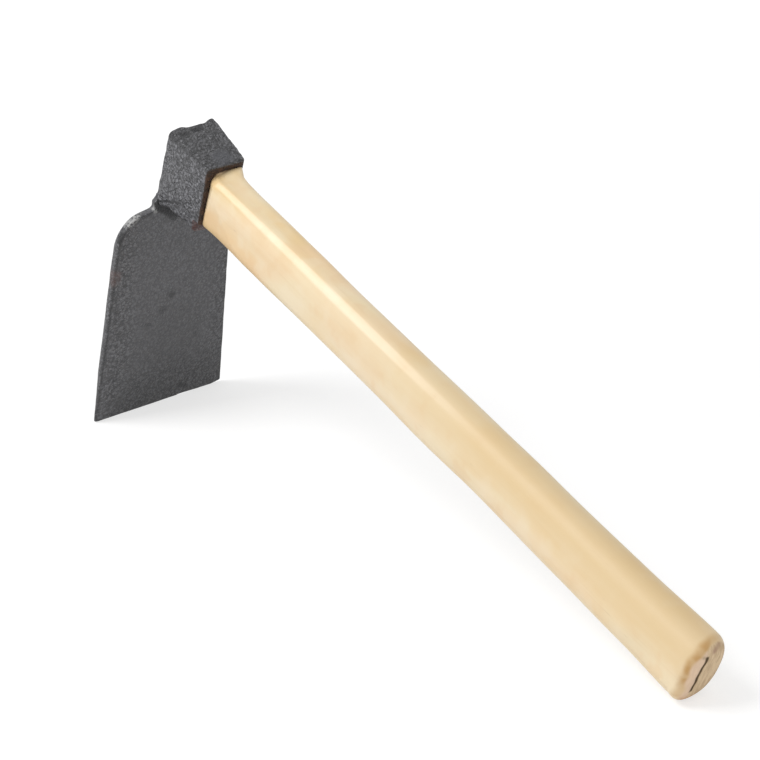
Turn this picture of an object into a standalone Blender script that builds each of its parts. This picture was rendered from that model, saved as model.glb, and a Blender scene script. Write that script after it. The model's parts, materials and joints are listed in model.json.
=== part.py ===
"""A hand hoe: a flat steel blade welded under a box-shaped steel eye, on a wedged wooden handle.

It stands as it would on a floor, on its cutting edge and on the butt of its handle, with +Z up and
+X from the blade towards the butt. The pieces are laid out in the tool's own frame, which a parent
empty then tilts until both ends touch the floor. In that frame X runs along the handle, from the
mouth of the eye to the butt, Y is across the tool and Z is square to the handle.

All sizes are in metres.
"""

import math

import bmesh
import bpy
from mathutils import Matrix, Vector

# Gap between pieces that touch
GAP = 0.0003

# Handle, measured from the mouth of the eye
HANDLE_LENGTH = 0.3850
HANDLE_HEIGHT_AT_HEAD = 0.0350
HANDLE_WIDTH_AT_HEAD = 0.0200
HANDLE_RISE_AT_HEAD = 0.0006
HANDLE_HEIGHT_AT_BUTT = 0.0368
HANDLE_WIDTH_AT_BUTT = 0.0286
HANDLE_SQUARENESS_AT_HEAD = 4.5
HANDLE_SQUARENESS_AT_BUTT = 2.2
HANDLE_SQUARE_SHARE = 0.6
WHITTLED_LENGTH = 0.0180
SHOULDER_DROP = 0.0028
SHOULDER_SLOPE_LENGTH = 0.0012
BUTT_ROUNDING = 0.0072
TANG_CORNER = 0.0022
TANG_RECESS = 0.0006

# Drying check in the butt's end grain
CHECK_LENGTH = 0.0210
CHECK_WIDTH = 0.0015
CHECK_DEPTH = 0.0040
CHECK_RISE = 0.0018
CHECK_OFFSET = -0.0046

# Eye, whose opening widens from its mouth to its poll
EYE_LENGTH = 0.0395
EYE_HEIGHT = 0.0307
EYE_WIDTH = 0.0168
EYE_RISE = 0.0030
EYE_TOP_FLARE = 0.0030
EYE_SIDE_FLARE = 0.0006
EYE_CORNER = 0.0025
EYE_SIDE_WALL = 0.0037
EYE_TOP_WALL_AT_MOUTH = 0.0048
EYE_TOP_WALL_AT_POLL = 0.0062
EYE_BOTTOM_WALL_AT_MOUTH = 0.0034
EYE_BOTTOM_WALL_AT_POLL = 0.0048
EYE_OUTER_CORNER = 0.0024
EYE_MOUTH_CHAMFER = 0.0006
POLL_LEAN = math.radians(5.5)

# Blade, which hangs square to the underside of the eye
BLADE_RAKE = math.radians(5.5)
BLADE_LENGTH = 0.1455
BLADE_EDGE_WIDTH = 0.0900
BLADE_SIDE_TAPER = 0.0600
BLADE_SHOULDER_HEIGHT = 0.1328
BLADE_SHOULDER_SLOPE = 0.33
BLADE_SHOULDER_RADIUS = 0.0230
BLADE_NECK_WIDTH = 0.0290
BLADE_NECK_RADIUS = 0.0040
BLADE_CORNER_RADIUS = 0.0010
BLADE_EDGE_THICKNESS = 0.0008
BLADE_BEVEL_HEIGHT = 0.0350
BLADE_BEVEL_THICKNESS = 0.0032
BLADE_TOP_THICKNESS = 0.0050

# Welds between the blade and the eye
FRONT_WELD_REACH = 0.0300
FRONT_WELD_DROP = 0.0044
FRONT_WELD_HOLLOW = 0.25
REAR_WELD_GROOVE = 0.0030
REAR_WELD_CROWN = 0.0006
WELD_END_MARGIN = 0.0006

# Wedges in the tang
WOOD_WEDGE_DEPTH = 0.0300
WOOD_WEDGE_THICK_END = 0.0044
WOOD_WEDGE_THIN_END = 0.0012
STEEL_WEDGE_DEPTH = 0.0200
STEEL_WEDGE_WIDTH = 0.0130
STEEL_WEDGE_THICK_END = 0.0032
STEEL_WEDGE_THIN_END = 0.0008
KERF_PAST_TIP = 0.0020
CUTTER_OVERRUN = 0.0060

# How fine the meshes are
CORNER_STEPS = 6
CORNER_SHARE = 0.49
OVAL_MARGIN = 5.0
HANDLE_STATIONS = 14
BUTT_STEPS = 5
WELD_STEPS = 6
SMOOTH_BELOW = math.radians(35)


def mix(start, end, share):
    return start + (end - start) * share


def clear_scene():
    for obj in list(bpy.data.objects):
        bpy.data.objects.remove(obj, do_unlink=True)


def make_material(name, colour, roughness, metallic):
    material = bpy.data.materials.new(name)
    material.use_nodes = True
    shader = material.node_tree.nodes["Principled BSDF"]
    shader.inputs["Base Color"].default_value = (*colour, 1.0)
    shader.inputs["Roughness"].default_value = roughness
    shader.inputs["Metallic"].default_value = metallic
    return material


def make_object(name, mesh_data, material, parent, on_blade=False):
    """One object from a bmesh, with its faces turned outwards and its round sides smooth.

    It is placed in the tool's frame, or in the blade's, which is tilted to the eye's underside."""
    bmesh.ops.recalc_face_normals(mesh_data, faces=mesh_data.faces)
    mesh = bpy.data.meshes.new(name)
    mesh_data.to_mesh(mesh)
    mesh_data.free()
    mesh.shade_smooth()
    mesh.set_sharp_from_angle(angle=SMOOTH_BELOW)
    obj = bpy.data.objects.new(name, mesh)
    bpy.context.scene.collection.objects.link(obj)
    if material:
        mesh.materials.append(material)
    obj.parent = parent
    if on_blade:
        obj.rotation_euler = (0.0, -BLADE_RAKE, 0.0)
        obj.location = joint_corner()
    return obj


def make_cutter(name, mesh_data, parent, on_blade=False):
    cutter = make_object(name, mesh_data, None, parent, on_blade)
    cutter.hide_render = True
    cutter.display_type = "WIRE"
    return cutter


def cut(obj, cutter):
    modifier = obj.modifiers.new("cut by " + cutter.name, "BOOLEAN")
    modifier.operation = "DIFFERENCE"
    modifier.solver = "EXACT"
    modifier.object = cutter


def rounded_rectangle(half_width, top, bottom, corner):
    """The points (y, z) of an upright rectangle with round corners, anticlockwise seen from +X."""
    corner = min(corner, CORNER_SHARE * 2 * half_width, CORNER_SHARE * (top - bottom))
    centres = (
        (half_width - corner, top - corner, 0.0),
        (corner - half_width, top - corner, 90.0),
        (corner - half_width, bottom + corner, 180.0),
        (half_width - corner, bottom + corner, 270.0),
    )
    points = []
    for y, z, start in centres:
        for step in range(CORNER_STEPS + 1):
            angle = math.radians(start + 90.0 * step / CORNER_STEPS)
            points.append((y + corner * math.cos(angle), z + corner * math.sin(angle)))
    return points


def squared_oval(half_width, top, bottom, squareness):
    """The points of a superellipse, as many and in the same order as rounded_rectangle's."""
    middle = (top + bottom) / 2
    half_height = (top - bottom) / 2
    power = 2 / squareness
    points = []
    for quarter in range(4):
        for step in range(CORNER_STEPS + 1):
            turn = mix(OVAL_MARGIN, 90.0 - OVAL_MARGIN, step / CORNER_STEPS)
            angle = math.radians(90.0 * quarter + turn)
            y = math.copysign(abs(math.cos(angle)) ** power, math.cos(angle))
            z = math.copysign(abs(math.sin(angle)) ** power, math.sin(angle))
            points.append((half_width * y, middle + half_height * z))
    return points


def ring_at(x, section):
    return [Vector((x, y, z)) for y, z in section]


def ring_on_poll(section, recess=0.0):
    """A section whose points lie on the leaning face of the poll, or a little inside it."""
    return [Vector((poll_x(z) + recess, y, z)) for y, z in section]


def loft(rings, closed_tube=False):
    """A skin over rings of as many points each: capped at both ends, or joined last to first."""
    mesh_data = bmesh.new()
    rows = [[mesh_data.verts.new(point) for point in ring] for ring in rings]
    pairs = list(zip(rows, rows[1:]))
    if closed_tube:
        pairs.append((rows[-1], rows[0]))
    for near, far in pairs:
        count = len(near)
        for i in range(count):
            j = (i + 1) % count
            mesh_data.faces.new((near[i], near[j], far[j], far[i]))
    if not closed_tube:
        mesh_data.faces.new(reversed(rows[0]))
        mesh_data.faces.new(rows[-1])
    return mesh_data


# The eye's sections

def eye_share(x):
    """How far x lies from the mouth, 0, to the poll, 1."""
    return -x / EYE_LENGTH


def underside_z(x):
    mouth = EYE_RISE - EYE_HEIGHT / 2 - EYE_BOTTOM_WALL_AT_MOUTH
    return mouth + x * math.tan(BLADE_RAKE)


def poll_x(z):
    """The poll's face: it starts above the blade's back and leans towards the handle."""
    return -EYE_LENGTH + (z - underside_z(-EYE_LENGTH)) * math.tan(POLL_LEAN)


def eye_opening(x, inset=0.0):
    """Half width, top and bottom of the eye's opening at x, drawn in by a clearance."""
    share = eye_share(x)
    half_width = EYE_WIDTH / 2 + EYE_SIDE_FLARE * share
    top = EYE_RISE + EYE_HEIGHT / 2 + EYE_TOP_FLARE * share
    bottom = underside_z(x) + mix(EYE_BOTTOM_WALL_AT_MOUTH, EYE_BOTTOM_WALL_AT_POLL, share)
    return half_width - inset, top - inset, bottom + inset


def eye_outside(x):
    half_width, top, _ = eye_opening(x)
    top += mix(EYE_TOP_WALL_AT_MOUTH, EYE_TOP_WALL_AT_POLL, eye_share(x))
    return half_width + EYE_SIDE_WALL, top, underside_z(x)


def inset_section(sizes, inset):
    half_width, top, bottom = sizes
    return half_width - inset, top - inset, bottom + inset


def joint_corner():
    """Where the blade's front face meets the underside, with the blade's back flush with the poll."""
    x = -EYE_LENGTH + BLADE_TOP_THICKNESS * math.cos(BLADE_RAKE)
    return (x, 0.0, underside_z(x))


def build_eye_socket(parent, material):
    mouth_out = eye_outside(0.0)
    mouth_in = eye_opening(0.0)
    poll_out = eye_outside(-EYE_LENGTH)
    poll_in = eye_opening(-EYE_LENGTH)
    chamfer = EYE_MOUTH_CHAMFER
    rings = [
        ring_on_poll(rounded_rectangle(*poll_in, EYE_CORNER)),
        ring_on_poll(rounded_rectangle(*poll_out, EYE_OUTER_CORNER)),
        ring_at(-chamfer, rounded_rectangle(*eye_outside(-chamfer), EYE_OUTER_CORNER)),
        ring_at(0.0, rounded_rectangle(*inset_section(mouth_out, chamfer), EYE_OUTER_CORNER)),
        ring_at(0.0, rounded_rectangle(*mouth_in, EYE_CORNER)),
    ]
    return make_object("eye_socket", loft(rings, closed_tube=True), material, parent)


# The blade, in its own frame: X is out of its front face, Z is up it and 0 at the eye's underside

def blade_half_width(height):
    return BLADE_EDGE_WIDTH / 2 - BLADE_SIDE_TAPER * height


def blade_thickness(height):
    if height <= BLADE_BEVEL_HEIGHT:
        return mix(BLADE_EDGE_THICKNESS, BLADE_BEVEL_THICKNESS, height / BLADE_BEVEL_HEIGHT)
    share = (height - BLADE_BEVEL_HEIGHT) / (BLADE_LENGTH - BLADE_BEVEL_HEIGHT)
    return mix(BLADE_BEVEL_THICKNESS, BLADE_TOP_THICKNESS, share)


def round_corner(before, corner, after, radius):
    """Points of the arc that rounds one corner of an outline."""
    back = (before - corner).normalized()
    ahead = (after - corner).normalized()
    half_angle = back.angle(ahead) / 2
    reach = radius / math.tan(half_angle)
    room = min((before - corner).length, (after - corner).length)
    reach = min(reach, CORNER_SHARE * room)
    start = corner + back * reach
    end = corner + ahead * reach
    centre = corner + (back + ahead).normalized() * (reach / math.cos(half_angle))
    first = start - centre
    last = end - centre
    points = []
    for step in range(CORNER_STEPS + 1):
        direction = first.slerp(last, step / CORNER_STEPS).normalized()
        points.append(centre + direction * first.length)
    return points


def blade_right_outline():
    """Points (y, height above the edge) up the blade's +Y side, from the edge to the top."""
    neck = BLADE_NECK_WIDTH / 2
    shoulder_height = BLADE_SHOULDER_HEIGHT
    shoulder = blade_half_width(shoulder_height)
    neck_height = shoulder_height + (shoulder - neck) * BLADE_SHOULDER_SLOPE
    edge = Vector((BLADE_EDGE_WIDTH / 2, 0.0))
    bevel = Vector((blade_half_width(BLADE_BEVEL_HEIGHT), BLADE_BEVEL_HEIGHT))
    shoulder_corner = Vector((shoulder, shoulder_height))
    neck_corner = Vector((neck, neck_height))
    top = Vector((neck, BLADE_LENGTH - GAP))
    points = round_corner(Vector((0.0, 0.0)), edge, bevel, BLADE_CORNER_RADIUS)
    points.append(bevel)
    points += round_corner(edge, shoulder_corner, neck_corner, BLADE_SHOULDER_RADIUS)
    points += round_corner(shoulder_corner, neck_corner, top, BLADE_NECK_RADIUS)
    points.append(top)
    return points


def build_blade(parent, material):
    right = blade_right_outline()
    left = [Vector((-point.x, point.y)) for point in right]
    mesh_data = bmesh.new()

    def corner_pair(point):
        drop = point.y - BLADE_LENGTH
        front = mesh_data.verts.new((0.0, point.x, drop))
        back = mesh_data.verts.new((-blade_thickness(point.y), point.x, drop))
        return front, back

    right_pairs = [corner_pair(point) for point in right]
    left_pairs = [corner_pair(point) for point in left]
    loop = right_pairs + left_pairs[::-1]
    for (front, back), (next_front, next_back) in zip(loop, loop[1:] + loop[:1]):
        mesh_data.faces.new((front, next_front, next_back, back))
    mesh_data.faces.new([front for front, _ in loop])
    bevel_row = CORNER_STEPS + 1
    lower = right_pairs[: bevel_row + 1] + left_pairs[bevel_row::-1]
    upper = right_pairs[bevel_row:] + left_pairs[: bevel_row - 1 : -1]
    mesh_data.faces.new([back for _, back in lower])
    mesh_data.faces.new([back for _, back in upper])
    blade = make_object("blade", mesh_data, material, parent, on_blade=True)
    cut(blade, build_groove_cutter(parent))
    return blade


def build_groove_cutter(parent):
    """Takes the corner off the blade's back at the top, to make room for the rear weld."""
    back = -BLADE_TOP_THICKNESS
    over = CUTTER_OVERRUN
    section = [
        (back + REAR_WELD_GROOVE + over, over - GAP),
        (back - over, over - GAP),
        (back - over, -GAP - REAR_WELD_GROOVE - over),
    ]
    cutter = prism_across(section, BLADE_NECK_WIDTH / 2 + over)
    return make_cutter("groove_cutter", cutter, parent, on_blade=True)


# The welds, in the blade's frame

def weld_half_width():
    half_width, _, _ = eye_outside(joint_corner()[0])
    return half_width - WELD_END_MARGIN


def prism_across(section, half_width):
    """A section (x, z) drawn across the tool."""
    rings = [[Vector((x, side * half_width, z)) for x, z in section] for side in (-1, 1)]
    return loft(rings)


def build_front_weld(parent, material):
    """A hollow fillet from the underside of the eye down to the blade's front face."""
    section = [(GAP, -GAP)]
    for step in range(WELD_STEPS + 1):
        share = step / WELD_STEPS
        angle = math.radians(90.0 * share)
        along = mix(share, math.sin(angle), FRONT_WELD_HOLLOW)
        down = mix(share, 1 - math.cos(angle), FRONT_WELD_HOLLOW)
        section.append((mix(FRONT_WELD_REACH, GAP, along), mix(-GAP, -FRONT_WELD_DROP, down)))
    weld = prism_across(section, weld_half_width())
    return make_object("front_weld", weld, material, parent, on_blade=True)


def build_rear_weld(parent, material):
    """Fills the groove along the blade's back corner, with a low crown outside."""
    back = -BLADE_TOP_THICKNESS
    slant_gap = GAP * math.sqrt(2)
    low = -REAR_WELD_GROOVE - GAP + slant_gap
    inner = back + REAR_WELD_GROOVE - slant_gap
    section = [(inner, -GAP), (back, -GAP)]
    for step in range(1, WELD_STEPS):
        share = step / WELD_STEPS
        crown = REAR_WELD_CROWN * math.sin(math.pi * share)
        section.append((back - crown, mix(-GAP, low, share)))
    section.append((back, low))
    weld = prism_across(section, weld_half_width())
    return make_object("rear_weld", weld, material, parent, on_blade=True)


# The handle and the wedges in its tang

def tang_sizes(x):
    return eye_opening(x, GAP)


def handle_sizes(x):
    """Half width, top and bottom of the handle's own section at x."""
    share = x / HANDLE_LENGTH
    half_height = mix(HANDLE_HEIGHT_AT_HEAD, HANDLE_HEIGHT_AT_BUTT, share) / 2
    half_width = mix(HANDLE_WIDTH_AT_HEAD, HANDLE_WIDTH_AT_BUTT, share) / 2
    rise = mix(HANDLE_RISE_AT_HEAD, 0.0, share)
    return half_width, rise + half_height, rise - half_height


def handle_squareness(x):
    """The section turns from nearly a rectangle at the head to an oval, and stays oval."""
    share = min(1.0, x / (HANDLE_SQUARE_SHARE * HANDLE_LENGTH))
    return mix(HANDLE_SQUARENESS_AT_HEAD, HANDLE_SQUARENESS_AT_BUTT, share)


def butt_rings():
    rings = []
    for step in range(1, BUTT_STEPS + 1):
        angle = math.radians(90.0 * step / BUTT_STEPS)
        x = HANDLE_LENGTH - BUTT_ROUNDING * (1 - math.sin(angle))
        sizes = inset_section(handle_sizes(x), BUTT_ROUNDING * (1 - math.cos(angle)))
        rings.append(ring_at(x, squared_oval(*sizes, handle_squareness(x))))
    return rings


def build_handle(parent, material):
    half_width, top, bottom = tang_sizes(0.0)
    shoulder = (half_width, top, bottom - SHOULDER_DROP)
    rings = [
        ring_on_poll(rounded_rectangle(*tang_sizes(-EYE_LENGTH), TANG_CORNER), TANG_RECESS),
        ring_at(GAP, rounded_rectangle(half_width, top, bottom, TANG_CORNER)),
        ring_at(GAP + SHOULDER_SLOPE_LENGTH, squared_oval(*shoulder, HANDLE_SQUARENESS_AT_HEAD)),
    ]
    body_end = HANDLE_LENGTH - BUTT_ROUNDING
    for station in range(HANDLE_STATIONS):
        x = mix(WHITTLED_LENGTH, body_end, station / (HANDLE_STATIONS - 1))
        rings.append(ring_at(x, squared_oval(*handle_sizes(x), handle_squareness(x))))
    rings += butt_rings()
    return make_object("handle", loft(rings), material, parent)


def wood_wedge_thickness(x):
    return mix(WOOD_WEDGE_THICK_END, WOOD_WEDGE_THIN_END, (x + EYE_LENGTH) / WOOD_WEDGE_DEPTH)


def upright_ring(x_top, x_bottom, top, bottom, clearance=0.0):
    """Four corners of a section of the wooden wedge, or of the kerf that it fills."""
    high = wood_wedge_thickness(x_top) / 2 + clearance
    low = wood_wedge_thickness(x_bottom) / 2 + clearance
    return [
        Vector((x_top, high, top)),
        Vector((x_top, -high, top)),
        Vector((x_bottom, -low, bottom)),
        Vector((x_bottom, low, bottom)),
    ]


def build_wooden_wedge(parent, material):
    """The wedge stands the full height of the tang, and its thick end is flush with it."""
    tip_x = -EYE_LENGTH + WOOD_WEDGE_DEPTH
    _, top, bottom = tang_sizes(-EYE_LENGTH)
    _, tip_top, tip_bottom = tang_sizes(tip_x)
    poll = upright_ring(poll_x(top) + TANG_RECESS, poll_x(bottom) + TANG_RECESS, top, bottom)
    tip = upright_ring(tip_x, tip_x, tip_top, tip_bottom)
    return make_object("wooden_wedge", loft([poll, tip]), material, parent)


def build_kerf_cutter(parent):
    start_x = -EYE_LENGTH - CUTTER_OVERRUN
    end_x = -EYE_LENGTH + WOOD_WEDGE_DEPTH + KERF_PAST_TIP
    _, top, bottom = tang_sizes(-EYE_LENGTH)
    high = top + CUTTER_OVERRUN
    low = bottom - CUTTER_OVERRUN
    start = upright_ring(start_x, start_x, high, low, GAP)
    end = upright_ring(end_x, end_x, high, low, GAP)
    return make_cutter("kerf_cutter", loft([start, end]), parent)


def steel_wedge_ring(x, middle, clearance=0.0):
    """Four corners of a section of the steel wedge, which lies across the wooden one."""
    share = (x + EYE_LENGTH) / STEEL_WEDGE_DEPTH
    half_height = mix(STEEL_WEDGE_THICK_END, STEEL_WEDGE_THIN_END, share) / 2 + clearance
    half_width = STEEL_WEDGE_WIDTH / 2 + clearance
    return [
        Vector((x, half_width, middle + half_height)),
        Vector((x, -half_width, middle + half_height)),
        Vector((x, -half_width, middle - half_height)),
        Vector((x, half_width, middle - half_height)),
    ]


def build_steel_wedge(parent, material, wooden_pieces):
    _, top, bottom = tang_sizes(-EYE_LENGTH)
    middle = (top + bottom) / 2
    poll = poll_x(middle) + TANG_RECESS
    tip = -EYE_LENGTH + STEEL_WEDGE_DEPTH
    wedge = loft([steel_wedge_ring(poll, middle), steel_wedge_ring(tip, middle)])
    make_object("steel_wedge", wedge, material, parent)
    outside = steel_wedge_ring(-EYE_LENGTH - CUTTER_OVERRUN, middle, GAP)
    inside = steel_wedge_ring(tip + GAP, middle, GAP)
    cutter = make_cutter("steel_wedge_cutter", loft([outside, inside]), parent)
    for piece in wooden_pieces:
        cut(piece, cutter)


def build_check(parent, handle):
    """The narrow crack in the butt's end grain, upright and off the middle."""
    near = CHECK_OFFSET - CHECK_WIDTH / 2
    far = CHECK_OFFSET + CHECK_WIDTH / 2
    high = CHECK_RISE + CHECK_LENGTH / 2
    low = CHECK_RISE - CHECK_LENGTH / 2
    section = [(far, high), (near, high), (near, low), (far, low)]
    inner = ring_at(HANDLE_LENGTH - CHECK_DEPTH, section)
    outer = ring_at(HANDLE_LENGTH + CUTTER_OVERRUN, section)
    cut(handle, make_cutter("check_cutter", loft([inner, outer]), parent))


# Standing the tool on the floor

def tool_points(obj):
    """The object's corners in the tool's frame, before the tool is tilted."""
    placing = Matrix.LocRotScale(obj.location, obj.rotation_euler, None)
    return [placing @ vertex.co for vertex in obj.data.vertices]


def standing_tilt(blade, handle):
    """The tilt about Y at which the floor touches both the cutting edge and the butt."""
    edge = [point for point in tool_points(blade) if point.z < -BLADE_LENGTH / 2]
    butt = [point for point in tool_points(handle) if point.x > HANDLE_LENGTH / 2]
    slopes = []
    for low in edge:
        slopes.append(min(math.atan2(point.z - low.z, point.x - low.x) for point in butt))
    return max(slopes)


def stand_on_floor(root, blade, handle, pieces):
    """Tilts the tool, then puts the origin under the middle of its box."""
    root.rotation_euler = (0.0, standing_tilt(blade, handle), 0.0)
    placing = root.rotation_euler.to_matrix()
    points = [placing @ point for piece in pieces for point in tool_points(piece)]
    middle_x = (min(point.x for point in points) + max(point.x for point in points)) / 2
    root.location = (-middle_x, 0.0, -min(point.z for point in points))


def main():
    clear_scene()
    root = bpy.data.objects.new("hoe", None)
    bpy.context.scene.collection.objects.link(root)

    paint = make_material("dark_hammered_paint", (0.060, 0.060, 0.066), 0.38, 0.35)
    weld = make_material("painted_weld", (0.055, 0.055, 0.060), 0.42, 0.35)
    wood = make_material("lacquered_wood", (0.80, 0.62, 0.37), 0.30, 0.0)
    wedge_wood = make_material("dry_wedge_wood", (0.62, 0.45, 0.26), 0.70, 0.0)
    steel = make_material("dull_steel", (0.30, 0.29, 0.28), 0.50, 1.0)

    blade = build_blade(root, paint)
    eye_socket = build_eye_socket(root, paint)
    front_weld = build_front_weld(root, weld)
    rear_weld = build_rear_weld(root, weld)
    handle = build_handle(root, wood)
    wooden_wedge = build_wooden_wedge(root, wedge_wood)
    cut(handle, build_kerf_cutter(root))
    build_steel_wedge(root, steel, (handle, wooden_wedge))
    build_check(root, handle)
    stand_on_floor(root, blade, handle, (blade, eye_socket, front_weld, rear_weld, handle))


main()
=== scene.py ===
"""The looks of a hand hoe: hammered paint, lumpy welds and lacquered wood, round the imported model.

The tool stands on its cutting edge and on the butt of its handle. In the tool's own frame X runs
along the handle from the mouth of the eye, Y is across and Z is square to the handle. In the
blade's frame X is out of the blade's front, Z is up it, and 0 is at the underside of the eye.

All sizes are in metres. The camera looks at the side with negative Y, called near here.
"""

import json
import math

import bmesh
import bpy
import numpy as np
from mathutils import Matrix, Vector, noise


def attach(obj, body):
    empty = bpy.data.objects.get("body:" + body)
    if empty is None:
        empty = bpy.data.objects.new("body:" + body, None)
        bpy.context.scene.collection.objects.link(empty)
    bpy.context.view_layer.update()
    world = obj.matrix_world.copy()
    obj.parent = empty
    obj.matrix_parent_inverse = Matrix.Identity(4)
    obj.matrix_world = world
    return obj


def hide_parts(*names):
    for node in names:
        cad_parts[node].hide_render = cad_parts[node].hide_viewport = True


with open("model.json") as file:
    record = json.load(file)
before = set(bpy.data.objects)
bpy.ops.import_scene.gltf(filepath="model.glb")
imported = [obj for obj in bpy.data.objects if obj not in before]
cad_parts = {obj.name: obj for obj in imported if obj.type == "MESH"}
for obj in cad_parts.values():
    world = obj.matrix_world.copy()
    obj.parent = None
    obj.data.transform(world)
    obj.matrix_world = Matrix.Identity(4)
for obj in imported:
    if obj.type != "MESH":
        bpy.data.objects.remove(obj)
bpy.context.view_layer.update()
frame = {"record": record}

# Handle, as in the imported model, but its corners at the head are a little rounder
HANDLE_LENGTH = 0.3850
HANDLE_HEIGHT_AT_HEAD = 0.0350
HANDLE_WIDTH_AT_HEAD = 0.0200
HANDLE_RISE_AT_HEAD = 0.0006
HANDLE_HEIGHT_AT_BUTT = 0.0368
HANDLE_WIDTH_AT_BUTT = 0.0286
SQUARENESS_AT_HEAD = 4.1
SQUARENESS_AT_BUTT = 2.2
SQUARE_SHARE = 0.6
BUTT_ROUNDING = 0.0072
TANG_GAP = 0.0003
TANG_CORNER = 0.0022
TANG_RECESS = 0.0006
BUTT_MOUNT = (HANDLE_LENGTH, 0.0030, -0.0020)

# Eye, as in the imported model
EYE_LENGTH = 0.0395
EYE_HEIGHT = 0.0307
EYE_WIDTH = 0.0168
EYE_RISE = 0.0030
EYE_TOP_FLARE = 0.0030
EYE_SIDE_FLARE = 0.0006
EYE_CORNER = 0.0025
EYE_SIDE_WALL = 0.0037
TOP_WALL_AT_MOUTH = 0.0048
TOP_WALL_AT_POLL = 0.0062
BOTTOM_WALL_AT_MOUTH = 0.0034
BOTTOM_WALL_AT_POLL = 0.0048
POLL_LEAN = math.radians(5.5)

# Roundings at the two ends of the eye's wall, for a wall of its mean thickness
EYE_MEAN_WALL = 0.0045
MOUTH_ROUNDING = 0.0009
POLL_ROUNDING = 0.0015

# Blade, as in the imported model, but a little wider, because its sides are rounded
BLADE_RAKE = math.radians(5.5)
BLADE_LENGTH = 0.1455
BLADE_EDGE_WIDTH = 0.0906
BLADE_SIDE_TAPER = 0.0600
BLADE_SHOULDER_HEIGHT = 0.1328
BLADE_SHOULDER_SLOPE = 0.33
BLADE_SHOULDER_RADIUS = 0.0230
BLADE_NECK_WIDTH = 0.0290
BLADE_NECK_RADIUS = 0.0040
BLADE_EDGE_THICKNESS = 0.0008
BLADE_BEVEL_HEIGHT = 0.0350
BLADE_BEVEL_THICKNESS = 0.0032
BLADE_TOP_THICKNESS = 0.0050

# How far the corners of the hand-made eye stray from a true box, as (across, up)
MOUTH_STRAY = {
    "near_top": (0.0015, -0.0008),
    "near_bottom": (0.0014, 0.0005),
    "far_top": (0.0017, 0.0008),
    "far_bottom": (0.0004, 0.0),
}
POLL_STRAY = {
    "near_top": (-0.0004, -0.0004),
    "near_bottom": (0.0002, 0.0),
    "far_top": (0.0036, 0.0010),
    "far_bottom": (0.0012, 0.0),
}

# Height of the poll's top edge above a straight one, at places across it
POLL_EDGE = (
    (-0.0130, -0.0010),
    (-0.0070, 0.0),
    (-0.0005, -0.0015),
    (0.0095, -0.0018),
    (0.0150, 0.0002),
)

# How far the weld's lower side hangs below the eye, at places along it from the mouth
WELD_DROP = (
    (0.0, 0.0064),
    (-0.0045, 0.0056),
    (-0.0110, 0.0036),
    (-0.0193, 0.0041),
    (-0.0265, 0.0033),
    (-0.0345, 0.0055),
)

# How far the handle's far top corner stands out from an even taper, at places along it
FAR_TOP_LINE = (
    (0.000, 0.0007),
    (0.030, 0.0006),
    (0.075, 0.00025),
    (0.120, -0.0003),
    (0.155, -0.00015),
    (0.225, 0.00045),
    (0.250, 0.00045),
    (0.295, -0.0003),
    (0.340, -0.0003),
    (0.372, 0.0001),
)

# How far its near bottom corner is drawn in from it
NEAR_LOW_LINE = (
    (0.000, 0.0),
    (0.055, 0.0005),
    (0.095, 0.0009),
    (0.150, 0.00095),
    (0.200, 0.0003),
    (0.234, 0.0006),
    (0.300, 0.0001),
    (0.340, -0.00025),
)

# How much fuller than its oval the butt's low near corner is
BUTT_FULLNESS = 0.0010

# The strip planed off the handle's near top edge: the way it faces, its depth and how flat it is
PLANED_FACING = np.array((-0.652, 0.758))
PLANED_DEPTH = 0.00052
PLANED_FLATNESS = 0.70

# Wedges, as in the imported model: their depth and thickness, and the steel one's width
WEDGE_DEPTH = 0.0300
WEDGE_THICK_END = 0.0044
WEDGE_THIN_END = 0.0012
STEEL_DEPTH = 0.0200
STEEL_WIDTH = 0.0130
STEEL_THICK_END = 0.0032
STEEL_THIN_END = 0.0008

# Cutters start clear of the poll, and the kerf's reaches past the tang above and below
CUTTER_START = -EYE_LENGTH - 0.006
KERF_TOP = 0.032
KERF_BOTTOM = -0.021

# The drying check in the butt: its depth, the heights of its ends and their places across
CHECK_DEPTH = 0.0080
CHECK_TOP = 0.0131
CHECK_BOTTOM = -0.0090
CHECK_HIGH_Y = -0.0040
CHECK_LOW_Y = -0.0066

# The check's bends along it, as (reach, turns over its length in radians, start)
CHECK_BENDS = (
    (0.00030, 8.0, 0.0),
    (0.00014, 23.0, 1.0),
)

# Welds: where the front one starts and ends along the eye, and the size of the rear bead
FRONT_WELD_BACK = -EYE_LENGTH + 0.0030
FRONT_WELD_FRONT = -0.0012
WELD_OVERLAP = 0.0016
REAR_WELD_RADIUS = 0.0023
REAR_WELD_SINK = 0.0011
REAR_WELD_RIPPLE = 0.0024
REAR_WELD_TAPER = 0.0018
REAR_WELD_POINTS = 28

# How far the neck's top corners are rounded down beside the eye
NECK_DROP = 0.0036

# Pits in the blade's front: centre as (across, height), radius and depth
BLADE_PITS = (
    ((0.0017, 0.0770), 0.0020, 0.00055),
    ((-0.0030, 0.0672), 0.0016, 0.00040),
    ((-0.0127, 0.0589), 0.0015, 0.00035),
    ((0.0060, 0.0846), 0.0013, 0.00025),
)


def mix(start, end, share):
    return start + (end - start) * share


def ramp(value, start, end):
    """0 at start, 1 at end and smooth in between; start may be the larger one."""
    share = np.clip((value - start) / (end - start), 0.0, 1.0)
    return share * share * (3 - 2 * share)


def smooth_path(value, places):
    """Follows (place, height) points with level tops and bottoms at each of them."""
    height = np.full(np.shape(value), places[0][1])
    for (start, low), (end, high) in zip(places, places[1:]):
        height = height + (high - low) * ramp(value, start, end)
    return height


def lumps(points, size, seed):
    """Smooth noise from about -1 to 1 at each point, with lumps of about that size."""
    shift = Vector((3.7, 5.1, 7.9)) * seed
    return np.array([noise.noise(Vector(point) / size + shift) for point in points])


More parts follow.
